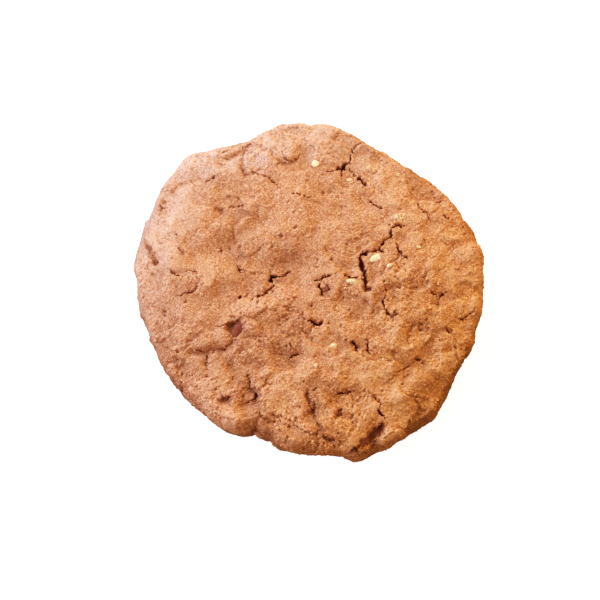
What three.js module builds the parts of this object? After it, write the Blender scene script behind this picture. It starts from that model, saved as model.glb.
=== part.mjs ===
import * as THREE from 'three';

// A thick hand-shaped drop cookie: cracked and craggy on top, flat underneath.
// Lengths are millimetres; +X is to the right, +Y to the back, +Z up, and the base lies on z = 0.

// Body sizes
const CROWN_HEIGHT = 14.5;
const CROWN_DROP = 2.6;
const CROWN_POWER = 4;
const SHOULDER_WIDTH = 2.1;
const WIDEST_HEIGHT = 5.5;
const FOOT_TUCK = 2.0;

// Outline seen from above: turn from +X in degrees, reach from the middle
const OUTLINE = [
  [9, 37.5], [20, 37.2], [29, 36.2], [42, 35.0], [54, 33.4], [67, 33.9], [75, 35.5], [89, 36.1],
  [98, 36.7], [105, 35.8], [114, 35.4], [122, 36.2], [131, 38.9], [142, 38.7], [152, 38.4], [163, 37.6],
  [173, 37.7], [183, 37.0], [194, 36.0], [205, 35.5], [218, 35.4], [230, 34.3], [236, 35.2], [245, 33.4],
  [248, 32.0], [250, 31.0], [253, 32.0], [257, 32.7], [262, 33.9], [274, 35.3], [281, 36.6], [286, 37.6],
  [292, 37.7], [301, 37.7], [312, 38.7], [320, 38.1], [328, 37.2], [336, 37.1], [351, 37.1], [359, 36.8],
];

// Cracks in the crust: width across the top, depth, and the route seen from above
const CRACKS = [
  // Right of the middle
  { gape: 1.0, depth: 2.2, route: [[20.1, 11.8], [17.4, 11.7], [17.2, 10.0], [15.5, 8.0], [14.8, 6.4]] },
  { gape: 1.1, depth: 2.8, route: [[14.8, 6.4], [12.4, 6.3], [11.0, 5.4], [11.4, 1.4], [12.2, -2.1]] },
  { gape: 0.5, depth: 1.4, route: [[16.9, 9.0], [18.8, 7.1], [20.9, 5.1]] },
  { gape: 0.6, depth: 1.4, route: [[11.5, 0.6], [8.6, 0.6], [6.5, 0.8]] },
  { gape: 0.9, depth: 1.8, route: [[1.8, -0.2], [2.5, -1.8], [2.7, -3.1]] },
  { gape: 0.6, depth: 1.6, route: [[15.4, -3.8], [16.2, -6.6], [17.4, -8.2]] },
  { gape: 0.6, depth: 1.4, route: [[25.3, -1.7], [27.4, -3.8], [28.7, -1.7]] },
  // Back
  { gape: 0.9, depth: 2.2, route: [[11.1, 30.7], [9.1, 29.4], [8.9, 26.8], [5.6, 24.7], [2.6, 23.6]] },
  { gape: 0.8, depth: 2.0, route: [[8.6, 25.0], [10.8, 22.7], [12.4, 20.6]] },
  { gape: 0.7, depth: 1.6, route: [[-12.1, 31.1], [-14.3, 27.6], [-14.0, 23.7]] },
  // Left of the middle
  { gape: 0.8, depth: 2.2, route: [[-8.8, 0.2], [-6.0, 1.2], [-3.8, 2.2]] },
  { gape: 0.5, depth: 1.4, route: [[-6.7, -0.3], [-9.5, -2.6], [-12.3, -4.2]] },
  { gape: 2.4, depth: 2.4, route: [[-16.0, -10.4], [-14.4, -9.8]] },
  { gape: 0.5, depth: 1.4, route: [[-13.0, -7.5], [-16.5, -8.9], [-19.4, -9.9]] },
  { gape: 0.9, depth: 1.2, route: [[-34.3, 8.0], [-33.0, 6.2], [-32.3, 4.2]] },
  // Front left
  { gape: 0.6, depth: 1.6, route: [[-24.7, -14.8], [-21.6, -15.0], [-21.8, -18.1]] },
  { gape: 0.7, depth: 1.7, route: [[-19.5, -14.3], [-17.7, -14.3], [-15.8, -12.4]] },
  { gape: 0.8, depth: 2.0, route: [[-12.8, -20.0], [-12.2, -22.7], [-10.9, -25.5], [-13.6, -25.6]] },
  { gape: 1.0, depth: 2.0, route: [[-16.3, -24.4], [-18.2, -24.8]] },
  // Front
  { gape: 0.9, depth: 2.2, route: [[-0.7, -8.6], [1.3, -8.8], [2.7, -9.0]] },
  { gape: 0.6, depth: 1.8, route: [[7.6, -12.7], [9.9, -14.2], [10.1, -14.9]] },
  { gape: 1.0, depth: 1.2, route: [[-0.5, -24.1], [0.5, -27.2], [2.6, -32.1], [4.5, -33.3]] },
  { gape: 0.9, depth: 1.4, route: [[6.8, -27.2], [5.2, -29.0]] },
  // Front right
  { gape: 0.7, depth: 1.3, route: [[24.1, -16.2], [20.2, -18.3], [17.9, -19.2], [15.5, -22.6]] },
  { gape: 2.2, depth: 2.6, route: [[15.4, -29.9], [14.0, -32.0], [11.6, -33.6]] },
];

// Broad swells and hollows: middle, size along and across, turn in degrees, rise
const SWELLS = [
  { at: [-7.0, 4.3], size: [18.0, 6.2], turn: -3, rise: -1.0 },
  { at: [-9.2, -1.0], size: [17.0, 4.8], turn: 31, rise: -0.5 },
  { at: [-10.4, -7.0], size: [13.0, 6.5], turn: 34, rise: 0.8 },
  { at: [-6.4, -10.8], size: [14.0, 7.0], turn: 34, rise: 0.4 },
  { at: [-0.4, -0.6], size: [9.0, 7.0], turn: 0, rise: -0.45 },
  { at: [-12.6, 10.8], size: [12.0, 4.6], turn: 38, rise: -0.75 },
  { at: [-20.2, 6.1], size: [11.0, 4.6], turn: 25, rise: -0.75 },
  { at: [-4.8, -16.2], size: [10.0, 6.4], turn: 0, rise: -1.05 },
  { at: [-20.4, -18.2], size: [16.0, 8.0], turn: 4, rise: -0.7 },
  { at: [20.3, -18.9], size: [17.0, 4.8], turn: 39, rise: -0.6 },
  { at: [22.6, -22.0], size: [19.0, 4.6], turn: 39, rise: 0.7 },
  { at: [22.7, -10.2], size: [4.6, 3.6], turn: 0, rise: -1.1 },
  { at: [6.7, -25.1], size: [12.6, 4.5], turn: 6, rise: -0.6 },
  { at: [-21.9, -25.2], size: [11.0, 5.3], turn: -19, rise: 0.45 },
  { at: [27.4, -3.1], size: [5.5, 4.0], turn: 0, rise: -0.3 },
  { at: [-2.4, 25.6], size: [9.7, 4.5], turn: 0, rise: -0.22 },
  { at: [-13.5, 19.4], size: [9.3, 4.0], turn: 11, rise: -0.3 },
  { at: [-10.1, 26.7], size: [7.6, 4.0], turn: -13, rise: 0.35 },
  { at: [-20.3, 27.3], size: [11.4, 4.4], turn: 21, rise: 0.3 },
  { at: [30.0, -20.8], size: [24.0, 10.0], turn: 50, rise: -0.45 },
  { at: [16.2, -32.2], size: [4.6, 2.4], turn: 40, rise: 0.8 },
  { at: [3.0, -25.6], size: [4.4, 3.0], turn: 20, rise: 0.4 },
  { at: [-3.6, -32.6], size: [24.0, 6.4], turn: 2, rise: 1.1 },
  { at: [-15.4, -28.8], size: [14.0, 5.4], turn: -28, rise: 0.65 },
  { at: [16.0, 28.2], size: [14.0, 4.0], turn: -30, rise: 0.35 },
  { at: [-10.0, -27.4], size: [9.0, 3.8], turn: 70, rise: 0.8 },
];

// Lobes of the side: middle, radius, rise
const LOBES = [
  { at: [10.4, -36.0, 4.5], radius: 2.4, rise: 0.7 },
  { at: [-14.0, -32.5, 4.5], radius: 3.0, rise: 0.6 },
  { at: [-8.0, -33.4, 11.0], radius: 4.0, rise: 0.7 },
  { at: [-2.0, -34.0, 11.0], radius: 4.0, rise: 0.8 },
  { at: [4.0, -34.4, 11.0], radius: 4.0, rise: 0.7 },
];

// Pale chips baked into the crust: middle, size along and across, turn in degrees.
// The edge of a chip slopes from its top to the crust between two shares of its half-size.
const CHIP_RISE = 0.5;
const CHIP_EDGE = [0.7, 1.3];
const CHIPS = [
  { at: [1.4, 26.1], size: [1.6, 1.5], turn: 60 },
  { at: [14.3, 5.2], size: [2.2, 1.6], turn: 10 },
  { at: [9.2, -0.2], size: [2.0, 1.2], turn: 0 },
  { at: [5.1, -13.7], size: [1.6, 1.2], turn: 15 },
  { at: [13.6, 26.0], size: [1.8, 1.4], turn: -20 },
];

// Crags all over the crust: wavelength and height of each family of waves
const CRAG_FAMILIES = [
  { wavelength: 17, height: 0.16 },
  { wavelength: 9, height: 0.13 },
  { wavelength: 5, height: 0.1 },
];
const WAVES_PER_FAMILY = 5;

// Where the crags and cracks fade out on the side, measured up from the table
const FOOT_FADE = [0.3, 3.0];
const CRACK_FADE = [4.0, 8.0];

// The side is calmer than the top: share of the crags left there, and the band over which they grow to full
const SIDE_CALM = 0.5;
const SIDE_BAND = [3.0, 10.0];

// Share of full size that a crack keeps at its two ends, and the run of its sloping walls
const CRACK_END_SHARE = 0.45;
const CRACK_WALL = 0.6;

// Facets: rings from the middle to the foot, and the finer edges beside cracks and chips
const RING_COUNT = 27;
const SECTORS = 6;
const FINE_EDGE = 0.65;
const FINE_MARGIN = 0.4;
const FINE_PASSES = 3;

// Shares of the way from the middle of the crown to the foot
const CROWN_SHARE = 0.7;
const WIDEST_SHARE = 0.9;

const GOLDEN_TURN = Math.PI * (3 - Math.sqrt(5));
const FULL_TURN = 360;
const { clamp, smoothstep, degToRad, radToDeg, euclideanModulo } = THREE.MathUtils;

// Reach of the outline at a turn: a smooth closed curve through the outline points
function outlineReach(turn) {
  const count = OUTLINE.length;
  const knot = (index) => {
    const lap = Math.floor(index / count);
    const [degrees, reach] = OUTLINE[index - lap * count];
    return [degrees + lap * FULL_TURN, reach];
  };
  let degrees = euclideanModulo(radToDeg(turn), FULL_TURN);
  if (degrees < OUTLINE[0][0]) {
    degrees += FULL_TURN;
  }
  let start = 0;
  while (knot(start + 1)[0] <= degrees) {
    start += 1;
  }
  const [[t0, r0], [t1, r1], [t2, r2], [t3, r3]] = [-1, 0, 1, 2].map((step) => knot(start + step));
  const span = t2 - t1;
  const slopeIn = ((r2 - r0) / (t2 - t0)) * span;
  const slopeOut = ((r3 - r1) / (t3 - t1)) * span;
  const k = (degrees - t1) / span;
  const blend = k * k * (3 - 2 * k);
  const ease = k * (1 - k);
  return r1 + (r2 - r1) * blend + ease * ((1 - k) * slopeIn - k * slopeOut);
}

// Smooth body: a point of the unit disc is carried over the crown, down the shoulder and under to the foot
function bodyPoint([p, q]) {
  const turn = Math.atan2(q, p);
  const way = Math.min(Math.hypot(p, q), 1);
  const reach = outlineReach(turn);
  let radius;
  let height;
  if (way < CROWN_SHARE) {
    const k = way / CROWN_SHARE;
    radius = (reach - SHOULDER_WIDTH) * k;
    height = CROWN_HEIGHT - CROWN_DROP * k ** CROWN_POWER;
  } else if (way < WIDEST_SHARE) {
    const bend = ((way - CROWN_SHARE) / (WIDEST_SHARE - CROWN_SHARE)) * (Math.PI / 2);
    radius = reach - SHOULDER_WIDTH * (1 - Math.sin(bend));
    height = WIDEST_HEIGHT + (CROWN_HEIGHT - CROWN_DROP - WIDEST_HEIGHT) * Math.cos(bend);
  } else {
    const bend = ((way - WIDEST_SHARE) / (1 - WIDEST_SHARE)) * (Math.PI / 2);
    radius = reach - FOOT_TUCK * (1 - Math.cos(bend));
    height = WIDEST_HEIGHT * (1 - Math.sin(bend));
  }
  return new THREE.Vector3(radius * Math.cos(turn), radius * Math.sin(turn), height);
}

// Nearest place on a crack's route: distance from it and share of the length run so far
function nearestOnRoute(route, x, y) {
  const lengths = route.slice(1).map(([bx, by], i) => Math.hypot(bx - route[i][0], by - route[i][1]));
  const whole = lengths.reduce((sum, length) => sum + length, 0);
  let best = { distance: Infinity, share: 0 };
  let run = 0;
  lengths.forEach((length, i) => {
    const [ax, ay] = route[i];
    const [bx, by] = route[i + 1];
    const along = clamp(((x - ax) * (bx - ax) + (y - ay) * (by - ay)) / length ** 2, 0, 1);
    const distance = Math.hypot(x - ax - along * (bx - ax), y - ay - along * (by - ay));
    if (distance < best.distance) {
      best = { distance, share: (run + along * length) / whole };
    }
    run += length;
  });
  return best;
}

// Depth of the deepest crack under a point seen from above
function crackDepth(x, y) {
  return CRACKS.reduce((deepest, { gape, depth, route }) => {
    const { distance, share } = nearestOnRoute(route, x, y);
    const swell = CRACK_END_SHARE + (1 - CRACK_END_SHARE) * Math.sin(Math.PI * share);
    const wall = 1 - smoothstep(distance, 0, (gape / 2) * swell + CRACK_WALL);
    return Math.max(deepest, depth * swell * wall);
  }, 0);
}

// Offset from the middle of an oval, measured in its own half-sizes
function ovalOffset({ at, size, turn }, x, y) {
  const angle = degToRad(turn);
  const along = (x - at[0]) * Math.cos(angle) + (y - at[1]) * Math.sin(angle);
  const across = (y - at[1]) * Math.cos(angle) - (x - at[0]) * Math.sin(angle);
  return Math.hypot((2 * along) / size[0], (2 * across) / size[1]);
}

// Rise of the broad swells at a point seen from above
function swellRise(x, y) {
  return SWELLS.reduce((sum, swell) => sum + swell.rise * Math.exp(-(ovalOffset(swell, x, y) ** 2)), 0);
}

// Rise of the lobes at a point in space
function lobeRise(point) {
  return LOBES.reduce((sum, { at, radius, rise }) => {
    const offset = point.distanceTo(new THREE.Vector3(...at)) / radius;
    return sum + rise * Math.exp(-(offset ** 2));
  }, 0);
}

// Rise of the chips at a point seen from above
function chipRise(x, y) {
  return CHIPS.reduce((top, chip) => {
    return Math.max(top, CHIP_RISE * (1 - smoothstep(ovalOffset(chip, x, y), ...CHIP_EDGE)));
  }, 0);
}

// Height of the crags at a point in space: families of plane waves spread evenly over all directions
function cragRise({ x, y, z }) {
  const waveCount = CRAG_FAMILIES.length * WAVES_PER_FAMILY;
  return CRAG_FAMILIES.reduce((sum, { wavelength, height }, family) => {
    let rise = 0;
    for (let wave = 0; wave < WAVES_PER_FAMILY; wave += 1) {
      const order = family * WAVES_PER_FAMILY + wave;
      const lift = 1 - (order + 0.5) / waveCount;
      const level = Math.sqrt(1 - lift * lift);
      const heading = GOLDEN_TURN * order;
      const travel = x * level * Math.cos(heading) + y * level * Math.sin(heading) + z * lift;
      rise += Math.sin((2 * Math.PI * travel) / wavelength + order * order);
    }
    return sum + height * rise;
  }, 0);
}

// All relief at a point of the smooth body, measured along its outward direction
function relief(point) {
  const calm = SIDE_CALM + (1 - SIDE_CALM) * smoothstep(point.z, ...SIDE_BAND);
  const swell = swellRise(point.x, point.y) + lobeRise(point);
  const crust = cragRise(point) * calm + swell + chipRise(point.x, point.y);
  const crack = crackDepth(point.x, point.y) * smoothstep(point.z, ...CRACK_FADE);
  return crust * smoothstep(point.z, ...FOOT_FADE) - crack;
}

// Whether a point lies close enough to a crack or chip to need the finer facets
function needsFineFacets({ x, y, z }) {
  if (z < CRACK_FADE[0]) {
    return false;
  }
  const byCrack = ({ gape, route }) => nearestOnRoute(route, x, y).distance < gape / 2 + FINE_MARGIN;
  const byChip = (chip) => ovalOffset(chip, x, y) < CHIP_EDGE[1];
  return CRACKS.some(byCrack) || CHIPS.some(byChip);
}

// Even facets on the unit disc: each ring has six points more than the ring inside it
function discFacets() {
  const points = [[0, 0]];
  const triangles = [];
  let inner = 0;
  for (let ring = 1; ring <= RING_COUNT; ring += 1) {
    const outer = points.length;
    const outerCount = SECTORS * ring;
    const innerCount = Math.max(SECTORS * (ring - 1), 1);
    for (let step = 0; step < outerCount; step += 1) {
      const turn = (2 * Math.PI * step) / outerCount;
      points.push([(Math.cos(turn) * ring) / RING_COUNT, (Math.sin(turn) * ring) / RING_COUNT]);
    }
    for (let sector = 0; sector < SECTORS; sector += 1) {
      for (let step = 0; step < ring; step += 1) {
        const near = inner + ((sector * (ring - 1) + step) % innerCount);
        const here = outer + sector * ring + step;
        const next = outer + ((sector * ring + step + 1) % outerCount);
        triangles.push([near, here, next]);
        if (step < ring - 1) {
          triangles.push([near, next, inner + ((sector * (ring - 1) + step + 1) % innerCount)]);
        }
      }
    }
    inner = outer;
  }
  return { points, triangles, rim: inner };
}

// One pass of halving the long edges beside cracks and chips; triangles on both sides share the new points
function refineFacets({ points, triangles, rim }) {
  const middles = new Map();
  const middleOf = (a, b) => {
    const key = `${Math.min(a, b)} ${Math.max(a, b)}`;
    if (!middles.has(key)) {
      const middle = [(points[a][0] + points[b][0]) / 2, (points[a][1] + points[b][1]) / 2];
      const places = [points[a], middle, points[b]].map(bodyPoint);
      const long = places[0].distanceTo(places[2]) > FINE_EDGE;
      const split = long && places.some(needsFineFacets);
      middles.set(key, split ? points.push(middle) - 1 : null);
    }
    return middles.get(key);
  };
  const finer = triangles.flatMap((corners) => {
    let [a, b, c] = corners;
    let [ab, bc, ca] = [middleOf(a, b), middleOf(b, c), middleOf(c, a)];
    const splits = [ab, bc, ca].filter((middle) => middle !== null).length;
    if (splits === 0) {
      return [corners];
    }
    if (splits === 3) {
      return [[a, ab, ca], [ab, b, bc], [ca, bc, c], [ab, bc, ca]];
    }
    // Turn the triangle until its first edge is split and its last edge is whole
    while (ab === null || ca !== null) {
      [a, b, c, ab, bc, ca] = [b, c, a, bc, ca, ab];
    }
    return splits === 1 ? [[a, ab, c], [ab, b, c]] : [[ab, b, bc], [a, ab, bc], [a, bc, c]];
  });
  return { points, triangles: finer, rim };
}

// The whole cookie as one closed body: the crust moved along its outward directions, and a flat base
function cookieGeometry() {
  let facets = discFacets();
  for (let pass = 0; pass < FINE_PASSES; pass += 1) {
    facets = refineFacets(facets);
  }
  const { points, triangles, rim } = facets;
  const smooth = points.map(bodyPoint);
  const crust = new THREE.BufferGeometry().setFromPoints(smooth);
  crust.setIndex(triangles.flat());
  crust.computeVertexNormals();
  const outward = new THREE.Vector3();
  const shaped = smooth.map((point, i) => {
    outward.fromBufferAttribute(crust.attributes.normal, i);
    return point.clone().addScaledVector(outward, relief(point));
  });
  const baseMiddle = shaped.push(new THREE.Vector3(0, 0, 0)) - 1;
  const rimCount = SECTORS * RING_COUNT;
  for (let step = 0; step < rimCount; step += 1) {
    triangles.push([baseMiddle, rim + ((step + 1) % rimCount), rim + step]);
  }
  const body = new THREE.BufferGeometry().setFromPoints(shaped);
  body.setIndex(triangles.flat());
  body.computeVertexNormals();
  return body;
}

const crumb = new THREE.MeshStandardMaterial({ color: '#d59064', roughness: 0.88, metalness: 0 });
crumb.name = 'crumb';

const cookie = new THREE.Mesh(cookieGeometry(), crumb);
cookie.name = 'cookie';

const part = new THREE.Group();
part.name = 'drop_cookie';
part.add(cookie);

export default part;
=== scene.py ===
"""A thick hand-shaped drop cookie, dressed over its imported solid.

The crust, the pale chips, the chocolate, the loose crumbs and the sandy grains are surfaces worked out with
numpy in millimetres, in the frame's axes: +X to the right, +Y to the back, +Z up, the base on z = 0.
"""
import math
from typing import NamedTuple

import bpy
import numpy as np
from bpy.props import FloatProperty, FloatVectorProperty, IntProperty, PointerProperty
from bpy.types import Operator, Panel, PropertyGroup
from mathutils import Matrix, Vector


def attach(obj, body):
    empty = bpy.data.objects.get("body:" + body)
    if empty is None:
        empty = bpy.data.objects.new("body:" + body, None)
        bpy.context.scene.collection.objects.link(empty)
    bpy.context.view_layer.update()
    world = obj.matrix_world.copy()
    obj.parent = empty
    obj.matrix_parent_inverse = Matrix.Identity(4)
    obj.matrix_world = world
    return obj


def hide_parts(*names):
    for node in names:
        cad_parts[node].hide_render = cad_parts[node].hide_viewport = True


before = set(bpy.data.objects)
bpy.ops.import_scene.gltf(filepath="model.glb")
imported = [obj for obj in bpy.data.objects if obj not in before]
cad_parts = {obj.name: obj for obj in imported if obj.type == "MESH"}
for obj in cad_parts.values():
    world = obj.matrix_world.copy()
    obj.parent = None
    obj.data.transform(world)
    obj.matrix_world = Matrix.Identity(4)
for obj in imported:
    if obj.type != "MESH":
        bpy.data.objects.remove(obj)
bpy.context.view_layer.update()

bl_info = {
    "name": "Drop Cookie",
    "version": (1, 0, 0),
    "blender": (4, 5, 0),
    "location": "3D View > Sidebar > Cookie",
    "description": "Builds a cracked drop cookie with chips, chocolate and crumbs over its packed solid",
    "category": "Object",
}

MM = 0.001

# Outline seen from above: turn from +X in degrees, reach from the middle
OUTLINE = np.array([
    (9, 37.5), (20, 37.2), (29, 36.2), (42, 35.0), (54, 33.4), (67, 33.9), (75, 35.5), (89, 36.1),
    (98, 36.7), (105, 35.8), (114, 35.4), (122, 36.2), (131, 38.9), (142, 38.7), (152, 38.4), (163, 37.6),
    (173, 37.7), (183, 37.0), (194, 36.0), (205, 35.5), (218, 35.4), (230, 34.3), (236, 35.1), (245, 32.9),
    (248, 31.4), (250, 30.2), (253, 32.0), (257, 32.4), (262, 33.6), (274, 35.1), (281, 36.6), (286, 37.6),
    (292, 37.7), (301, 37.7), (312, 38.7), (320, 38.1), (328, 37.2), (336, 37.1), (351, 37.1), (359, 36.8),
])

# Shares of the way from the middle of the crown to the foot: end of the crown, widest line, lowest crumbs
CROWN_SHARE = 0.70
WIDEST_SHARE = 0.90
LOWEST_SHARE = 0.96

# The shoulder is tighter along the front: turn of the middle of the front in degrees, share taken off
# there, and power of its fade
FRONT_TURN = 262
FRONT_TIGHTNESS = 0.5
FRONT_POWER = 4

# Power of the crown's fall: level in the middle, falling towards the shoulder
CROWN_POWER = 4

# Cracks in the crust: width across the top, depth, and the route seen from above
CRACKS = (
    # Right of the middle
    (1.0, 1.6, ((20.1, 11.8), (18.4, 12.05), (17.2, 11.3))),
    (0.6, 1.2, ((17.2, 11.3), (17.15, 10.3), (17.3, 9.4), (16.2, 8.9))),
    (0.9, 1.5, ((16.2, 8.9), (15.5, 8.0), (14.85, 7.3), (14.85, 6.5), (15.5, 6.0))),
    (0.5, 1.2, ((14.7, 6.4), (13.2, 6.4), (12.4, 6.3))),
    (1.6, 1.8, ((12.5, 6.5), (11.6, 5.9), (10.7, 5.2))),
    (1.6, 2.0, ((10.9, 6.0), (11.1, 3.5), (11.4, 1.4), (11.5, 0.0))),
    (0.8, 1.6, ((11.5, 0.9), (11.9, -0.8), (12.2, -2.3))),
    (0.6, 1.3, ((18.0, 7.9), (19.2, 6.3), (19.7, 5.5), (20.7, 5.0))),
    (0.5, 1.2, ((10.8, 0.9), (9.6, 0.5), (8.5, 0.9), (7.0, 1.1))),
    (0.4, 1.2, ((5.4, 1.7), (4.4, 1.2), (2.7, 0.5), (0.6, 0.3))),
    (0.6, 1.4, ((1.8, -0.2), (2.5, -1.8), (2.7, -3.1))),
    (0.4, 1.0, ((16.1, 0.0), (15.7, -1.5), (16.1, -2.6))),
    (0.5, 1.2, ((15.7, -3.0), (15.5, -5.1), (16.5, -6.4), (17.4, -7.8), (17.4, -8.6))),
    (0.45, 1.0, ((25.3, -1.7), (26.6, -2.9), (27.4, -3.8), (26.9, -5.0), (25.4, -4.6))),
    (0.7, 1.3, ((27.4, -3.8), (28.1, -2.6), (28.7, -1.7))),
    (0.3, 0.6, ((30.5, -7.6), (32.2, -7.7), (33.8, -6.7), (35.1, -5.1))),
    (0.4, 0.9, ((28.6, 15.1), (29.7, 13.9))),
    (0.35, 0.8, ((23.3, 17.4), (23.9, 16.1), (25.2, 15.2), (25.6, 13.6))),
    (0.5, 1.2, ((28.9, -10.2), (29.3, -11.0), (30.4, -10.2))),
    # Back
    (0.3, 0.8, ((11.1, 30.7), (10.0, 30.4), (9.1, 29.4))),
    (0.5, 1.4, ((9.4, 29.4), (8.9, 26.8), (7.8, 25.9))),
    (1.1, 2.0, ((8.2, 26.2), (6.9, 24.9), (5.8, 24.6))),
    (0.35, 0.8, ((6.7, 24.9), (6.9, 23.6), (7.1, 22.4))),
    (0.3, 0.7, ((5.6, 24.4), (4.5, 24.0), (3.5, 24.3), (2.6, 23.6))),
    (0.4, 1.0, ((8.6, 25.0), (9.7, 23.6), (10.6, 22.8))),
    (1.1, 1.9, ((10.4, 23.0), (11.2, 22.0), (12.4, 20.8))),
    (0.55, 1.3, ((-3.4, 19.2), (-2.6, 19.2), (-1.5, 18.9))),
    (0.25, 0.6, ((-1.5, 18.9), (-0.2, 18.2), (0.8, 18.2))),
    (0.6, 1.1, ((13.0, 17.9), (13.9, 16.9), (14.9, 16.3), (15.6, 15.7))),
    (0.3, 0.7, ((-12.1, 31.1), (-13.9, 30.1), (-14.3, 27.6))),
    (0.3, 0.7, ((-14.3, 25.6), (-14.0, 23.7))),
    (0.4, 0.9, ((-12.7, 24.5), (-10.8, 23.9), (-8.4, 22.6), (-5.8, 20.5))),
    (0.35, 0.7, ((-22.3, 21.7), (-21.4, 22.3), (-19.8, 23.4))),
    (0.3, 0.6, ((-6.0, 28.5), (-5.4, 26.8), (-4.1, 26.6), (-2.6, 27.3), (-1.7, 28.7))),
    # Left of the middle
    (1.0, 2.0, ((-8.8, 0.2), (-7.8, 0.9), (-6.0, 1.2))),
    (0.4, 1.0, ((-6.0, 1.1), (-5.1, 1.7), (-3.8, 2.2))),
    (0.35, 0.9, ((-6.7, -0.3), (-7.6, -1.1), (-9.5, -2.6), (-10.9, -3.5), (-12.3, -4.2))),
    (0.6, 1.0, ((-14.3, -3.2), (-15.0, -3.7))),
    (0.3, 0.7, ((-13.0, -7.5), (-14.6, -8.3), (-16.5, -8.9), (-19.4, -9.9))),
    (0.35, 0.8, ((-33.9, 7.6), (-33.3, 7.0))),
    (0.4, 0.9, ((-32.2, 16.9), (-31.2, 16.5))),
    (0.3, 0.5, ((-27.8, 7.6), (-27.3, 6.5), (-26.2, 5.9))),
    (0.4, 1.0, ((-29.3, 2.7), (-28.3, 1.6), (-27.2, 1.3))),
    (0.4, 0.9, ((-25.1, 2.5), (-23.4, 1.5))),
    (0.5, 0.9, ((-15.2, 3.2), (-14.3, 2.0), (-13.1, 2.0))),
    (0.4, 0.9, ((-23.8, -0.1), (-23.5, -1.1), (-25.0, -2.2), (-27.5, -2.9))),
    (0.3, 0.5, ((-19.9, 16.4), (-18.8, 15.2))),
    (0.3, 0.6, ((-17.1, 16.2), (-14.1, 16.3), (-13.7, 15.4))),
    # Front left
    (0.4, 1.0, ((-24.7, -14.8), (-23.1, -14.6), (-21.6, -15.0), (-20.8, -14.2))),
    (0.35, 0.9, ((-21.4, -15.0), (-21.6, -16.5), (-21.8, -18.1))),
    (0.45, 1.1, ((-19.5, -14.3), (-17.7, -14.3), (-16.9, -13.2), (-15.8, -12.4))),
    (0.55, 1.2, ((-12.8, -20.0), (-12.2, -21.3), (-12.2, -22.7))),
    (1.0, 1.6, ((-12.2, -22.7), (-11.2, -24.1), (-10.9, -25.7))),
    (0.4, 1.0, ((-10.7, -24.9), (-12.2, -25.1), (-13.6, -25.6))),
    (0.8, 1.1, ((-16.1, -24.4), (-18.4, -24.9))),
    (0.3, 0.6, ((-17.1, -25.0), (-15.3, -26.6))),
    # Front
    (0.4, 1.0, ((-2.6, -6.1), (-1.9, -7.4), (-0.7, -8.6))),
    (0.4, 1.0, ((-0.7, -8.6), (0.8, -8.6))),
    (1.5, 1.9, ((0.1, -8.4), (1.3, -8.8), (2.7, -9.0))),
    (0.6, 1.4, ((1.3, -8.9), (1.6, -10.2))),
    (0.5, 1.0, ((-4.3, -12.8), (-3.7, -13.7), (-3.1, -14.0))),
    (0.6, 1.1, ((-4.4, -16.6), (-3.4, -15.6), (-2.0, -15.3))),
    (0.8, 1.5, ((7.6, -12.7), (8.8, -13.1), (9.9, -14.2), (10.2, -15.1))),
    (0.6, 1.2, ((12.2, -12.5), (12.2, -13.9), (12.4, -15.4))),
    (0.5, 1.2, ((1.4, -22.2), (1.1, -23.6))),
    (0.4, 0.7, ((-0.7, -23.7), (-0.9, -24.4), (-0.3, -25.2))),
    (0.5, 0.8, ((0.2, -26.2), (0.9, -27.9))),
    (0.5, 0.8, ((1.6, -29.4), (1.9, -31.2))),
    (0.4, 0.7, ((3.9, -32.8), (4.6, -34.2))),
    (0.45, 1.0, ((5.0, -22.8), (6.1, -23.9), (7.2, -23.7), (9.2, -23.0))),
    (0.3, 0.8, ((12.2, -23.2), (13.4, -24.2), (14.6, -25.8))),
    # Front right
    (0.5, 1.1, ((22.0, -16.4), (23.0, -16.6), (23.8, -17.2))),
    (0.2, 0.4, ((22.3, -16.7), (20.2, -18.3), (17.9, -19.2), (16.6, -21.0), (15.5, -22.6))),
    (0.7, 1.6, ((14.2, -27.2), (14.9, -27.8), (15.7, -29.0))),
    (0.8, 1.6, ((15.2, -29.4), (15.0, -30.6), (14.6, -31.6))),
    (0.7, 1.4, ((10.6, -34.3), (9.4, -34.9), (7.6, -35.2))),
)

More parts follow.
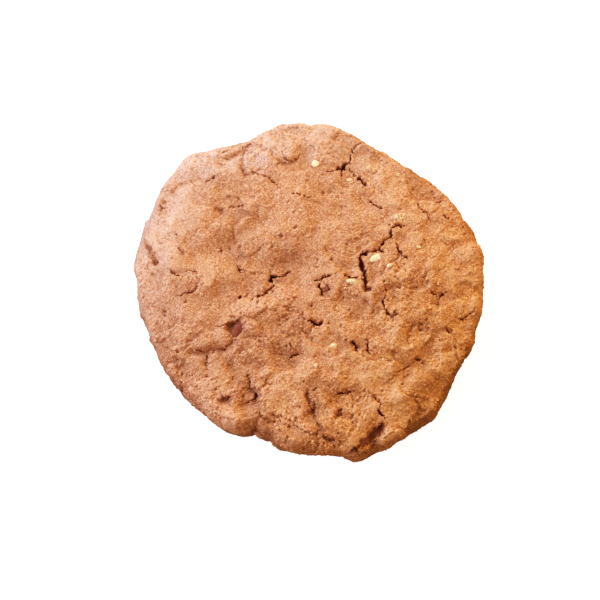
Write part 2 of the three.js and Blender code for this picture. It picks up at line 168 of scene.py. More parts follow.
# Broad swells and hollows: middle, size along and across, turn in degrees, rise. The hollows' colour also
# gets painted shade, by their depth
SWELLS = (
    ((-7.0, 4.3), (18.0, 6.2), -3, -1.0),
    ((-9.2, -1.0), (17.0, 4.8), 31, -0.5),
    ((-10.4, -7.0), (13.0, 6.5), 34, 0.8),
    ((-6.4, -10.8), (14.0, 7.0), 34, 0.4),
    ((-0.4, -0.6), (9.0, 7.0), 0, -0.45),
    ((-12.6, 10.8), (12.0, 4.6), 38, -0.75),
    ((-20.2, 6.1), (11.0, 4.6), 25, -0.75),
    ((-4.8, -16.2), (10.0, 6.4), 0, -1.05),
    ((-20.4, -18.2), (16.0, 8.0), 4, -0.7),
    ((20.3, -18.9), (17.0, 4.8), 39, -0.6),
    ((22.6, -22.0), (19.0, 4.6), 39, 0.7),
    ((22.7, -10.2), (4.6, 3.6), 0, -1.1),
    ((6.7, -25.1), (12.6, 4.5), 6, -0.6),
    ((-21.9, -25.2), (11.0, 5.3), -19, 0.45),
    ((27.4, -3.1), (5.5, 4.0), 0, -0.3),
    ((-2.4, 25.6), (9.7, 4.5), 0, -0.22),
    ((-13.5, 19.4), (9.3, 4.0), 11, -0.3),
    ((-10.1, 26.7), (7.6, 4.0), -13, 0.35),
    ((-20.3, 27.3), (11.4, 4.4), 21, 0.3),
    ((30.0, -20.8), (24.0, 10.0), 50, -0.45),
    ((16.2, -32.2), (4.6, 2.4), 40, 0.8),
    ((3.0, -25.6), (4.4, 3.0), 20, 0.4),
    ((-3.6, -32.9), (24.0, 6.2), 2, 1.3),
    ((-15.4, -28.8), (14.0, 5.4), -28, 0.65),
    ((16.0, 28.2), (14.0, 4.0), -30, 0.35),
    ((2.0, 12.0), (24.0, 14.0), 0, -0.2),
    ((-10.0, -27.4), (9.0, 3.8), 70, 0.8),
    ((-10.3, -29.4), (6.0, 2.4), 70, 0.7),
    ((-13.6, -29.6), (9.0, 4.4), -24, 0.5),
)

# Pits in the crust: middle, size along and across, turn in degrees, depth, share filled by chocolate
PITS = (
    ((-16.2, -9.7), (2.4, 2.0), 30, 1.2, 0.0),
    ((-15.2, -11.1), (2.7, 1.9), 60, 1.0, 0.0),
    ((-14.7, -10.2), (3.6, 3.0), 40, 0.75, 0.85),
    ((3.5, -2.0), (2.4, 1.7), 60, 0.35, 0.7),
    ((17.9, -7.2), (1.4, 1.0), 60, 0.5, 0.7),
    ((0.7, -27.4), (2.4, 1.4), 60, 0.7, 0.0),
    ((6.0, -28.1), (2.6, 1.1), 50, 0.7, 0.7),
    ((12.3, -1.7), (2.0, 1.3), 0, 0.9, 0.8),
    ((11.6, 5.9), (1.8, 1.0), 35, 1.2, 0.0),
    ((2.2, -31.0), (2.4, 1.5), 60, 0.7, 0.0),
    ((3.2, -32.5), (1.9, 1.2), -20, 0.7, 0.0),
    ((-0.6, -24.0), (1.1, 0.8), 30, 0.6, 0.0),
    ((13.8, -32.0), (5.6, 1.9), 46, 1.2, 0.0),
    ((11.2, -34.0), (4.8, 1.6), 24, 1.0, 0.0),
    ((13.2, -33.6), (2.6, 1.6), 30, 0.8, 0.0),
    ((-32.5, 4.5), (1.7, 1.2), 120, 0.7, 0.8),
    ((-34.2, 8.0), (2.2, 1.3), 120, 0.5, 0.0),
    ((-30.9, 17.8), (1.0, 0.9), 60, 0.3, 1.1),
    ((-17.5, -25.2), (2.8, 1.8), 10, 0.7, 0.0),
    ((-25.5, -12.6), (1.0, 0.8), 0, 0.4, 0.0),
    ((-26.9, 6.4), (1.6, 1.0), 130, 0.4, 0.0),
    ((-18.7, 15.4), (1.8, 1.3), 140, 0.4, 0.0),
)

# Grooves darkened by a cocoa stain, which in the crevices of the lower left is painted shade: width, depth,
# share of stain, and the route seen from above
GROOVES = (
    (1.5, 0.5, 0.9, ((-0.5, -24.1), (-0.1, -25.5), (0.5, -27.2), (1.2, -28.8), (2.0, -30.7), (2.6, -32.1))),
    (1.5, 0.5, 0.9, ((2.6, -32.1), (4.5, -33.3))),
    (1.2, 0.4, 0.8, ((-35.0, 9.0), (-33.6, 7.2), (-32.6, 5.0))),
    (1.6, 0.5, 0.6, ((13.6, 4.6), (13.2, 2.6), (13.2, 0.4))),
    (1.7, 0.5, 0.35, ((-16.1, -11.8), (-16.1, -13.3), (-17.6, -14.8), (-19.7, -14.5))),
    (1.7, 0.5, 0.35, ((-19.7, -14.5), (-21.5, -15.1), (-24.7, -15.1))),
    (1.4, 0.4, 0.35, ((-21.5, -15.1), (-21.7, -17.6))),
    (1.6, 0.5, 0.4, ((-12.8, -20.4), (-12.3, -22.4), (-11.2, -24.6), (-11.3, -25.9), (-13.5, -26.2))),
    (1.4, 0.35, 0.3, ((-12.5, -13.6), (-14.3, -15.4))),
    (1.1, 0.35, 0.5, ((-17.4, 27.2), (-15.6, 28.2), (-13.6, 29.4))),
    (0.9, 0.4, 0.5, ((-14.3, 27.0), (-14.2, 25.4), (-13.6, 23.4), (-11.8, 23.9))),
    (0.9, 0.3, 0.45, ((-28.9, 20.0), (-27.4, 21.4), (-25.2, 22.0))),
    (0.8, 0.3, 0.45, ((-23.6, 22.6), (-22.0, 21.6))),
    (0.9, 0.35, 0.45, ((-8.0, 28.4), (-6.6, 26.2), (-4.4, 25.6), (-2.8, 26.8))),
    (1.0, 0.3, 0.45, ((-17.6, 30.6), (-15.8, 31.2))),
    (0.8, 0.3, 0.4, ((-12.6, 30.2), (-10.6, 30.0), (-9.4, 28.8))),
)

# Lobes of the side: middle, radius, rise
LOBES = (
    ((10.4, -36.0, 4.5), 2.4, 0.7),
    ((-14.0, -32.5, 4.5), 3.0, 0.6),
    ((-8.0, -33.4, 11.0), 4.0, 0.7),
    ((-2.0, -34.0, 11.0), 4.0, 0.8),
    ((4.0, -34.4, 11.0), 4.0, 0.7),
    ((-11.6, -30.6, 11.5), 3.0, 0.9),
    ((-17.0, -29.4, 11.0), 4.0, 0.4),
)

# Crags all over the crust: wavelength and height of each family of waves
CRAG_FAMILIES = ((17, 0.10), (9, 0.06), (5, 0.04))
WAVES_PER_FAMILY = 5

# Pale chips: middle, size along and across, turn in degrees, how far crumb hides them
CHIPS = (
    ((1.4, 26.1), (1.5, 1.4), 60, 0.1),
    ((14.5, 5.1), (2.5, 1.5), 8, 0.0),
    ((17.0, 3.3), (1.0, 0.8), 20, 0.45),
    ((9.2, -0.2), (2.1, 1.0), 0, 0.55),
    ((5.1, -13.7), (1.3, 0.9), 15, 0.5),
    ((23.0, 7.3), (1.0, 0.8), 0, 0.6),
    ((13.4, 24.9), (1.8, 1.3), -20, 0.75),
    ((19.0, 23.8), (1.1, 1.0), 0, 0.75),
    ((1.4, -17.9), (1.0, 0.8), 40, 0.65),
    ((15.6, -16.6), (1.0, 0.8), 0, 0.7),
    ((-1.9, 15.3), (0.8, 0.7), 0, 0.6),
    ((-7.3, 26.2), (1.0, 0.9), 0, 0.8),
    ((19.4, 13.9), (2.4, 1.7), 10, 0.75),
    ((8.5, 22.1), (1.8, 1.2), -30, 0.75),
)


class Layer(NamedTuple):
    """Layer of crumb relief: size of its features, height on calm crust, what broken crust adds, seed."""

    size: float
    calm: float
    added: float
    seed: int

    def height(self, broken):
        """Height of the layer where the crust is this broken, from 0 to 1."""
        return self.calm + self.added * broken


class Lump(NamedTuple):
    """Lumps in the crust: half-width as a share of the size, half-height, depth sunk, lumpiness, seed."""

    share: float
    half_height: float
    sunk: float
    lumpy: float
    seed: int


# How broken the crust is: least share, and what is added at the front right, the rim, the side and in
# patches
BROKEN_LEAST = 0.26
BROKEN_FRONT = 0.54
BROKEN_RIM = 0.25
BROKEN_SIDE = 0.3
BROKEN_PATCHES = ((0.3, 11, 71),)

# Heading of the front right, and the distances and heights over which it, the rim and the side set in
FRONT_RIGHT = (0.5, -0.87)
FRONT_FADE = (-13.3, 19.0)
RIM_FADE = (24, 36)
SIDE_FADE = (7, 12)

# Relief low on the side: share that is left there, share added higher up, and the heights between
CALM_LEAST = 0.68
CALM_ADDED = 0.32
CALM_FADE = (3, 10)

# Heights over which relief fades above the flat base, and pits and cracks above the foot
BASE_FADE = (0.3, 3.0)
TOP_FADE = (4, 8)

# Layers of crumb, from the largest, and how sharp the steps between plates and between lumps are
PLATES = Layer(6.5, 0.3, 0.35, 36)
CREASES = Layer(5.5, 0.09, 0.32, 54)
LUMPS = Layer(2.2, 0.11, 0.40, 32)
GRAINS = Layer(0.62, 0.03, 0.18, 41)
FINE_GRAINS = Layer(0.36, 0.04, 0.05, 43)
PLATE_SHARPNESS = 22
LUMP_SHARPNESS = 10

# Creases between the plates: limits of the noise that says where they are, and of the distance across one
CREASE_PATCHES = (-0.2, 0.3)
CREASE_EDGE = (0.01, 0.07)

# Grains: distance at which a dome is level, in grains, step between grains, and width of their edge
GRAIN_DOME = 0.5
GRAIN_STEP = 0.8
GRAIN_EDGE = 0.35
FINE_GRAIN_DOME = 0.4

# How far edges are drawn to the grains: edges of plates and pits, and of cracks to fine and to larger
# grains
RAGGED_PULL = 0.6
CRACK_FINE_PULL = 0.45
CRACK_PULL = 0.25

# Sets of smooth noise, with height, wavelength and seed of each: undulation of the crumb and its least
# share, wander of the plates and the lumps' share of it, bends and opening of the cracks, edge of the pits,
# specks of the painted sheen
UNDULATION = ((0.14, 3.2, 61), (0.07, 1.5, 62), (0.04, 0.8, 63))
UNDULATION_LEAST = 0.4
WANDER = ((1.0, 4.5, 24), (0.3, 1.4, 27))
LUMP_WANDER = 0.5
CRACK_BEND = ((0.3, 1.6, 14), (0.2, 0.7, 17))
CRACK_GAPE = ((0.6, 1.5, 13), (0.4, 0.5, 15))
PIT_EDGE = ((0.2, 0.9, 64),)
SHEEN_SPECKS = ((0.45, 2.4, 53), (0.35, 1.0, 55))

# Pores, where a grain is missing: depth, chance anywhere and in clusters, share on calm crust, size, seed
# and limits of the clusters
PORE_DEPTH = 0.36
PORE_CHANCE = 0.004
PORE_CLUSTER_CHANCE = 0.06
PORE_CALM = 0.2
PORE_CLUSTER = (4, 52)
PORE_CLUSTER_LIMITS = (-0.2, 0.6)

# Fissures of the side: depth, wavelength and seed, share of the wander, limits across, patches, fade in
# height
FISSURE_DEPTH = 0.7
FISSURE_WAVE = (9, 57)
FISSURE_WANDER = 0.6
FISSURE_EDGE = (0.02, 0.08)
FISSURE_PATCH = (13, 58)
FISSURE_PATCH_LIMITS = (0, 0.35)
FISSURE_FADE = (9, 11.5)

# Dents of the side: depth, wavelength and seed, share of the wander, limits of the noise, fade in height
DENT_DEPTH = 0.45
DENT_WAVE = (4.2, 59)
DENT_WANDER = 0.5
DENT_LIMITS = (0.05, 0.4)
DENT_FADE = (8.5, 11)

# Cracks: half-width as a share of the width, swell at the ends and its power, least opening, where the wall
# starts as a share of the half-width, softness of its edge, least painted shade in a crack, and depth at
# which the painted shade is full
CRACK_HALF = 0.35
CRACK_END_SWELL = 0.3
CRACK_SWELL_POWER = 0.7
CRACK_LEAST_GAPE = 0.3
CRACK_WALL_START = 0.6
CRACK_WALL_EDGE = 0.05
CRACK_LEAST_SHADE = 0.1
CRACK_SHADE_DEPTH = 2.5

# Facets beside the cracks: how far they slide towards a crack, over what width, and how far above the
# widest line
SLIDE_PULL = 0.6
SLIDE_WIDTH = 0.9
SLIDE_MARGIN = 0.04

# Pits, in half-sizes of their oval: wall, stain, and the bottom of an empty pit, which gets painted shade.
# Then painted shade for each millimetre of depth, and the blocks that make them angular: height, size, seed
# and sharpness
PIT_WALL = (0.55, 1.1)
PIT_STAIN = (0.6, 1.5)
PIT_BOTTOM = (0.4, 0.9)
PIT_SHADE_PER_MM = 0.35
PIT_ANGLES = 0.7
PIT_BLOCKS = (1.3, 65, 14)

# Grooves: least share of their depth, and what the grains' draws add
GROOVE_LEAST = 0.7
GROOVE_DRAWN = 0.6

# Masks for the colours: rise of the crumb from lowest to highest level, and depth of a hollow whose painted
# shade is full
LEVEL_RANGE = 0.8
HOLLOW_SHADE_DEPTH = 0.9

# Painted sheen, a pale highlight painted in specks on one shoulder: turn of its middle, power of its fade
# along the rim, how far in from the outline it starts to fade and ends, heights over which it sets in, share
# of the larger grains in its specks, limits of the specks, least share between them, share added in them, and
# how strongly a stain clears it
SHEEN_TURN = 125
SHEEN_POWER = 1.5
SHEEN_WIDTH = (4.0, 13.0)
SHEEN_HEIGHT = (4, 10)
SPECK_GRAINS = 0.5
SPECK_LIMITS = (0.4, 0.7)
SHEEN_LEAST = 0.15
SHEEN_SPECKLED = 0.85
STAIN_CLEARS = 1.6

# Chips and chocolate as lumps, height and wavelength of their noise, rings of facets on half a lump, and
# how far up a chip its crumbed edge reaches
CHIP_LUMP = Lump(0.72, 0.45, 0.18, 1.0, 5)
CHOCOLATE_LUMP = Lump(0.5, 0.4, 0.15, 2.2, 6)
LUMP_NOISE = ((0.2, 1.1), (0.14, 0.5))
LUMP_RINGS = 8
CHIP_EDGE = (0.25, 0.75)

# Scattered lumps: limits of the half-sizes in radii and of each point's push, depth sunk in radii, and
# places tried for each one wanted
SCATTER_LEAST = (0.8, 0.8, 0.6)
SCATTER_MOST = (1.3, 1.3, 1.0)
SCATTER_PUSH = (0.75, 1.2)
SCATTER_SUNK = 0.4
TRIES_PER_PLACE = 4

# Loose crumbs: seed, chance that a place is kept as least, added and power of the brokenness, evenness of
# the radius, its scale on calm crust and what broken crust adds, and its limits
CRUMB_SEED = 17
CRUMB_LIKING = (0.08, 0.6, 1.5)
CRUMB_EVENNESS = 6.0
CRUMB_SCALE = 0.026
CRUMB_SCALE_ADDED = 0.012
CRUMB_LIMITS = (0.1, 0.5)

# Sandy grains: the same with one scale, then the grains beside the cracks: scale of the radius, count for
# each millimetre and how far they stray
GRAIN_SEED = 19
GRAIN_LIKING = (0.45, 0.2, 1.0)
GRAIN_EVENNESS = 9.0
GRAIN_SCALE = 0.017
GRAIN_LIMITS = (0.08, 0.3)
CRACK_GRAIN_SCALE = 0.018
CRACK_GRAINS_PER_MM = 16
CRACK_GRAIN_STRAY = 0.4

# Tints of the materials, in linear light
DARK_CRUMB = (0.44, 0.147, 0.053)
PALE_GRAIN = (0.86, 0.44, 0.25)
DARK_GRAIN = (0.42, 0.125, 0.034)
DARK_LOOSE_CRUMB = (0.40, 0.125, 0.04)
# Painted warm light, multiplied into the crumb towards the front right
WARM_LIGHT_TINT = (1.0, 0.945, 0.665)
# Painted shade where the crumb is low
LOW_CRUMB_SHADE = (0.36, 0.126, 0.047)
# Painted shade, multiplied into the crumb in the broad hollows
HOLLOW_SHADE_TINT = (0.80, 0.755, 0.70)
# Cocoa stain of pits and grooves, partly painted shade in the crevices
COCOA_STAIN_AND_SHADE = (0.29, 0.085, 0.036)
CHIP_VEIN = (0.76, 0.52, 0.19)
CHOCOLATE_BLOOM = (0.34, 0.13, 0.10)

# Painted warm light, golden on the crumb towards the front right: its heading over X and Y, and how far
# along it the gold sets in. Browned foot: from where, to where
WARM_LIGHT_HEADING = (0.75, -0.66)
WARM_LIGHT_FADE = (4, 28)
BROWNED_FADE = (10.0, 1.5)

# Size of the grains in the materials, and specular level of crumb and chocolate
SHADER_GRAIN = 0.23
CRUMB_SPECULAR = 0.3
CHOCOLATE_SPECULAR = 0.25

# Film response: power of the light, how soon it bends over towards white, and the light at the curve's
# points
FILM_POWER = 1.35
FILM_KNEE = 0.6
FILM_LIGHT = (0.0, 0.02, 0.06, 0.12, 0.2, 0.32, 0.5, 0.75, 1.0)

# Floor: reach of its middle face and of its flat part, radius and angle of the curve at its rim, steps and
# sides, gap under the cookie, its two greys and its glow
FLOOR_MIDDLE = 0.01
FLOOR_FLAT = 1500
FLOOR_CURVE = 800
FLOOR_CLIMB = 80
FLOOR_STEPS = 9
FLOOR_SIDES = 96
FLOOR_GAP = 0.02
FLOOR_GREYS = ((0.93, 0.93, 0.93), (0.95, 0.95, 0.95))
FLOOR_GLOW = 0.75

# Lamps, all of one width in metres: name, place in metres, power in watts, colour
LAMP_WIDTH = 0.5
LAMPS = (
    ("cool_window", (-0.52, 0.52, 0.36), 8.9, (0.46, 0.68, 0.97)),
    ("back_warmth", (0.30, 0.66, 0.36), 4.7, (1.0, 0.68, 0.22)),
    ("left_fill", (-0.72, -0.27, 0.24), 3.1, (0.98, 0.87, 0.98)),
    ("right_fill", (0.68, -0.24, 0.32), 1.2, (1.0, 0.66, 0.30)),
)

# Surround: colour from below and from above, upward share of the direction between them, and strength
SURROUND_BELOW = (0.06, 0.035, 0.02)
SURROUND_ABOVE = (1.0, 0.96, 0.80)
SURROUND_FADE = (-0.1, 0.25)
SURROUND_STRENGTH = 0.28

# Camera: point it looks at, distance, elevation in degrees, lens, sensor, and nearest distance that it sees
CAMERA_TARGET = (-1.93, -2.31, 6.0)
CAMERA_DISTANCE = 357
CAMERA_ELEVATION = 78
CAMERA_LENS = 100
CAMERA_SENSOR = 36
CAMERA_NEAR = 10

# Large odd numbers and shifts that mix a cell's numbers into draws, weights of a further draw, and a small
# step for slopes
HASH_AXES = np.array([0x9E3779B1, 0x85EBCA77, 0xC2B2AE3D], dtype=np.uint32)
HASH_SEED = 0x27D4EB2F
HASH_STEPS = ((np.uint32(15), np.uint32(0x2C1B3C6D)), (np.uint32(12), np.uint32(0x297A2D39)))
HASH_LAST = np.uint32(15)
HASH_RANGE = 2**32
OWN_WEIGHTS = np.array([37.0, 59.0, 83.0])
NUDGE = 1e-4


class CookieSizes(PropertyGroup):
    """Sizes of the cookie that a user would change."""

    crown_height: FloatProperty(
        name="Crown height", description="Table to the top of the crown",
        default=0.0145, unit="LENGTH")
    crown_drop: FloatProperty(
        name="Crown drop", description="Fall of the crown from its middle to the shoulder",
        default=0.0026, unit="LENGTH")
    shoulder_width: FloatProperty(
        name="Shoulder width", description="Width of the rounded shoulder seen from above",
        default=0.0021, unit="LENGTH")
    widest_height: FloatProperty(
        name="Widest height", description="Table to the widest line of the side",
        default=0.0055, unit="LENGTH")
    foot_tuck: FloatProperty(
        name="Foot tuck", description="Inward tuck of the side under its widest line",
        default=0.0020, unit="LENGTH")
    rings: IntProperty(
        name="Crust rings", description="Rings of facets from the middle of the crown to the foot",
        default=181)
    crumb_count: IntProperty(
        name="Crumbs", description="Loose crumbs baked onto the crust", default=9900)
    grain_count: IntProperty(
        name="Sandy grains", description="Small grains that stand out of the crust", default=20000)


class CookieColours(PropertyGroup):
    """Colours of the cookie, in linear light."""

    crumb: FloatVectorProperty(
        name="Crumb", description="Baked crumb", subtype="COLOR", default=(0.60, 0.217, 0.091))
    crumb_pale: FloatVectorProperty(
        name="Pale crumb", description="Sandy grains and raised places", subtype="COLOR",
        default=(0.80, 0.39, 0.21))
    crumb_rosy: FloatVectorProperty(
        name="Rosy crumb", description="Patches stained by cocoa", subtype="COLOR",
        default=(0.57, 0.199, 0.114))
    # Pale painted sheen: a highlight painted into the crumb on one shoulder
    painted_sheen: FloatVectorProperty(
        name="Dusty crumb", description="Pale dusty crumb on one shoulder", subtype="COLOR",
        default=(0.82, 0.475, 0.355))
    # Dark crumb of the cracks, laid on more strongly with depth as painted shade, also at the bottom of empty
    # pits
    crack_shade: FloatVectorProperty(
        name="Crack", description="Crumb deep in the cracks", subtype="COLOR", default=(0.26, 0.080, 0.026))
    foot: FloatVectorProperty(
        name="Foot", description="Browned foot and base", subtype="COLOR", default=(0.38, 0.16, 0.06))
    chip: FloatVectorProperty(
        name="Chip", description="Pale buttery chips", subtype="COLOR", default=(0.95, 0.74, 0.40))
    chocolate: FloatVectorProperty(
        name="Chocolate", description="Melted and set chocolate", subtype="COLOR",
        default=(0.24, 0.062, 0.032))


# Draws and noise that come out the same on every run

def cell_draws(cells, seed):
    """Three even draws from 0 to 1 for each whole-numbered cell: its numbers are multiplied by large odd
    numbers, mixed together and mixed again for each draw."""
    a, b, c = np.moveaxis(cells.astype(np.int64).astype(np.uint32), -1, 0)
    word = a * HASH_AXES[0] ^ b * HASH_AXES[1] ^ c * HASH_AXES[2]
    word = word ^ np.uint32(seed * HASH_SEED % HASH_RANGE)
    draws = []
    for _ in range(3):
        for shift, factor in HASH_STEPS:
            word = (word ^ (word >> shift)) * factor
        word = word ^ (word >> HASH_LAST)
        draws.append(word / HASH_RANGE)
    return np.stack(draws, axis=-1)


def own_draw(draws):
    """One more draw from 0 to 1 out of three: what is left of a weighted sum without its whole number."""
    return draws @ OWN_WEIGHTS % 1


def soft_noise(points, wavelength, seed):
    """Smooth noise from -1 to 1: a draw at each corner of a lattice, blended inside each cell by a curve
    that is level at both ends."""
    place = points / wavelength
    low = np.floor(place)
    share = place - low
    share = share**3 * (share * (share * 6 - 15) + 10)
    total = np.zeros(len(points))
    for corner in np.ndindex(2, 2, 2):
        weight = np.where(np.array(corner), share, 1 - share).prod(axis=1)
        total += weight * cell_draws(low + corner, seed)[:, 0]
    return 2 * total - 1


def soft_shift(points, wavelength, seed):
    """Smooth noise along each of the three axes."""
    return np.column_stack([soft_noise(points, wavelength, seed + axis) for axis in range(3)])


def noise_sum(points, layers, noise=soft_noise):
    """Sum of a set of smooth noise, each of its own height, wavelength and seed."""
    return sum(height * noise(points, wavelength, seed) for height, wavelength, seed in layers)


def near_seeds(points, size, seed):
    """Seeds of an uneven foam, one drawn in each cell of a lattice: the 27 seeds in the cells round each
    point, one after the other, as their places in lattice steps, the distances to them and their draws."""
    place = points / size
    home = np.floor(place)
    for step in np.ndindex(3, 3, 3):
        cell = home + np.array(step) - 1
        draws = cell_draws(cell, seed)
        yield cell + draws, np.linalg.norm(cell + draws - place, axis=1), draws


def foam(points, size, seed):
    """Cells of an uneven foam. Gives the distances to the nearest seed and to the second nearest, in
    lattice steps, a draw that belongs to the nearest, and its place."""
    nearest = np.full(len(points), np.inf)
    second = np.full(len(points), np.inf)
    owner = np.zeros(len(points))
    seat = np.zeros(points.shape)
    for place, distance, draws in near_seeds(points, size, seed):
        closer = distance < nearest
        second = np.where(closer, nearest, np.minimum(second, distance))
        owner = np.where(closer, own_draw(draws), owner)
        seat = np.where(closer[:, None], place, seat)
        nearest = np.where(closer, distance, nearest)
    return nearest, second, owner, seat * size


def blocks(points, size, seed, sharpness):
    """Uneven levels from -0.5 to 0.5: each seed of a foam has a level of its own, and the levels of the
    near seeds are blended by weights that fall off with distance, the steeper the sharper."""
    total = np.zeros(len(points))
    weights = np.zeros(len(points))
    for _, distance, draws in near_seeds(points, size, seed):
        weight = np.exp(-sharpness * distance)
        total += weight * (own_draw(draws) - 0.5)
        weights += weight
    return total / weights


def smooth_step(value, low, high):
    """Rise from 0 at low to 1 at high along a curve that is level at both ends."""
    share = np.clip((value - low) / (high - low), 0, 1)
    return share * share * (3 - 2 * share)


# The smooth body

def outline_reach(turn):
    """Reach of the outline at a turn in radians: a closed cubic through the outline's points, whose slope
    at each point is that of the chord between its two neighbours."""
    degrees = np.degrees(turn) % 360
    knots = np.vstack([OUTLINE - (360, 0), OUTLINE, OUTLINE + (360, 0)])
    start = np.searchsorted(knots[:, 0], degrees, side="right") - 1
    (t0, r0), (t1, r1), (t2, r2), (t3, r3) = (knots[start + step].T for step in (-1, 0, 1, 2))
    span = t2 - t1
    slope_in = (r2 - r0) / (t2 - t0) * span
    slope_out = (r3 - r1) / (t3 - t1) * span
    k = (degrees - t1) / span
    return r1 + (r2 - r1) * k * k * (3 - 2 * k) + k * (1 - k) * ((1 - k) * slope_in - k * slope_out)


def shoulder_at(sizes, turn):
    """Width of the rounded shoulder at a turn: a share is taken off that fades away from the front with a
    power of a cosine."""
    front = np.maximum(np.cos(turn - math.radians(FRONT_TURN)), 0) ** FRONT_POWER
    return sizes["shoulder_width"] * (1 - FRONT_TIGHTNESS * front)


def body_surface(sizes, turn, way):
    """Smooth body as a function of the turn and the way from the middle of the crown (0) to the foot (1):
    a crown that falls with a power of its radius, a quarter ellipse for the shoulder down to the widest
    line, and a quarter ellipse that tucks in under it."""
    reach = outline_reach(turn)
    side_drop = sizes["crown_height"] - sizes["crown_drop"] - sizes["widest_height"]
    crown = np.clip(way / CROWN_SHARE, 0, 1)
    bend = np.clip((way - CROWN_SHARE) / (WIDEST_SHARE - CROWN_SHARE), 0, 1) * math.pi / 2
    tuck = np.clip((way - WIDEST_SHARE) / (1 - WIDEST_SHARE), 0, 1) * math.pi / 2
    shoulder = shoulder_at(sizes, turn)
    radius = (reach - shoulder) * crown
    radius += shoulder * np.sin(bend) - sizes["foot_tuck"] * (1 - np.cos(tuck))
    height = sizes["crown_height"] - sizes["crown_drop"] * crown**CROWN_POWER
    height -= side_drop * (1 - np.cos(bend)) + sizes["widest_height"] * np.sin(tuck)
    return np.column_stack([radius * np.cos(turn), radius * np.sin(turn), height])


def body_outward(sizes, turn, way):
    """Outward direction of the smooth body: the cross product of its changes along the way and the turn."""
    way = np.clip(way, 20 * NUDGE, 1 - NUDGE)
    down = body_surface(sizes, turn, way + NUDGE) - body_surface(sizes, turn, way - NUDGE)
    round_about = body_surface(sizes, turn + NUDGE, way) - body_surface(sizes, turn - NUDGE, way)
    outward = np.cross(down, round_about)
    return outward / np.linalg.norm(outward, axis=1, keepdims=True)


def way_above(sizes, x, y):
    """Turn and way of the point of the crown or shoulder that lies over x, y."""
    turn = np.arctan2(y, x)
    radius = np.hypot(x, y)
    shoulder = shoulder_at(sizes, turn)
    inner = outline_reach(turn) - shoulder
    out = np.clip((radius - inner) / shoulder, 0, 1)
    bend = np.arcsin(out) / (math.pi / 2)
    crown = CROWN_SHARE * np.clip(radius / inner, 0, 1)
    return turn, np.where(radius < inner, crown, CROWN_SHARE + (WIDEST_SHARE - CROWN_SHARE) * bend)


# Relief of the crust

def nearest_on_route(route, x, y):
    """Distance from a route of straight runs, share of its length reached there, and nearest point."""
    route = np.array(route)
    starts, runs = route[:-1], np.diff(route, axis=0)
    lengths = np.linalg.norm(runs, axis=1)
    begun = np.concatenate([[0], np.cumsum(lengths)])
    best = np.full(len(x), np.inf)
    share = np.zeros(len(x))
    foot_x, foot_y = np.zeros(len(x)), np.zeros(len(x))
    for (ax, ay), (rx, ry), length, before in zip(starts, runs, lengths, begun):
        along = np.clip(((x - ax) * rx + (y - ay) * ry) / length**2, 0, 1)
        px, py = ax + along * rx, ay + along * ry
        distance = np.hypot(x - px, y - py)
        closer = distance < best
        best = np.where(closer, distance, best)
        share = np.where(closer, (before + along * length) / begun[-1], share)
        foot_x = np.where(closer, px, foot_x)
        foot_y = np.where(closer, py, foot_y)
    return best, share, foot_x, foot_y


def draw_to_cracks(x, y):
    """Slides points along the surface towards the nearest crack, by a share that fades with distance, so
    that the facets are finest at the crack walls."""
    best = np.full(len(x), np.inf)
    to_x, to_y = np.copy(x), np.copy(y)
    for _, _, route in CRACKS:
        distance, _, foot_x, foot_y = nearest_on_route(route, x, y)
        closer = distance < best
        best = np.where(closer, distance, best)
        to_x = np.where(closer, foot_x, to_x)
        to_y = np.where(closer, foot_y, to_y)
    share = SLIDE_PULL * np.exp(-(best / SLIDE_WIDTH) ** 2)
    return x + share * (to_x - x), y + share * (to_y - y)


def oval_offset(middle, size, turn, x, y):
    """Offset from the middle of an oval, measured in its own half-sizes."""
    angle = math.radians(turn)
    along = (x - middle[0]) * math.cos(angle) + (y - middle[1]) * math.sin(angle)
    across = (y - middle[1]) * math.cos(angle) - (x - middle[0]) * math.sin(angle)
    return np.hypot(2 * along / size[0], 2 * across / size[1])


def crag_rise(points):
    """Sum of families of plane waves whose directions are spread evenly over the upper half of all
    directions, each turned from the last by the golden angle."""
    wave_count = len(CRAG_FAMILIES) * WAVES_PER_FAMILY
    golden_turn = math.pi * (3 - math.sqrt(5))
    rise = np.zeros(len(points))
    for family, (wavelength, height) in enumerate(CRAG_FAMILIES):
        for wave in range(WAVES_PER_FAMILY):
            order = family * WAVES_PER_FAMILY + wave
            lift = 1 - (order + 0.5) / wave_count
            level = math.sqrt(1 - lift * lift)
            heading = golden_turn * order
            direction = np.array([level * math.cos(heading), level * math.sin(heading), lift])
            rise += height * np.sin(2 * math.pi * (points @ direction) / wavelength + order * order)
    return rise


def crumbliness(points):
    """How broken the crust is, from 0 on the smooth middle to 1: it grows towards the front right and the
    rim, and down the side, and is uneven in patches."""
    x, y, z = points.T
    broken = BROKEN_LEAST + BROKEN_FRONT * smooth_step(points[:, :2] @ FRONT_RIGHT, *FRONT_FADE)
    broken += BROKEN_RIM * smooth_step(np.hypot(x, y), *RIM_FADE)
    broken += BROKEN_SIDE * (1 - smooth_step(z, *SIDE_FADE))
    return np.clip(broken + noise_sum(points, BROKEN_PATCHES), 0, 1)


def crack_relief(points):
    """Depth of the cracks at these points, and from 0 to 1 their dark crumb with painted shade, which grows
    with the crack's depth. A crack swells in the middle of its run, and noise bends it and opens and closes
    it."""
    x, y = (points + noise_sum(points, CRACK_BEND, soft_shift))[:, :2].T
    opening = np.maximum(1 + noise_sum(points, CRACK_GAPE), CRACK_LEAST_GAPE)
    depth = np.zeros(len(points))
    depth_shade = np.zeros(len(points))
    for gape, deep, route in CRACKS:
        distance, share, _, _ = nearest_on_route(route, x, y)
        middle = np.sin(math.pi * share) ** CRACK_SWELL_POWER
        swell = CRACK_END_SWELL + (1 - CRACK_END_SWELL) * middle
        half = CRACK_HALF * gape * swell * opening
        wall = 1 - smooth_step(distance, CRACK_WALL_START * half, half + CRACK_WALL_EDGE)
        depth = np.maximum(depth, deep * swell * wall)
        depth_shade = np.maximum(depth_shade, wall * min(1, CRACK_LEAST_SHADE + deep / CRACK_SHADE_DEPTH))
    return depth, depth_shade


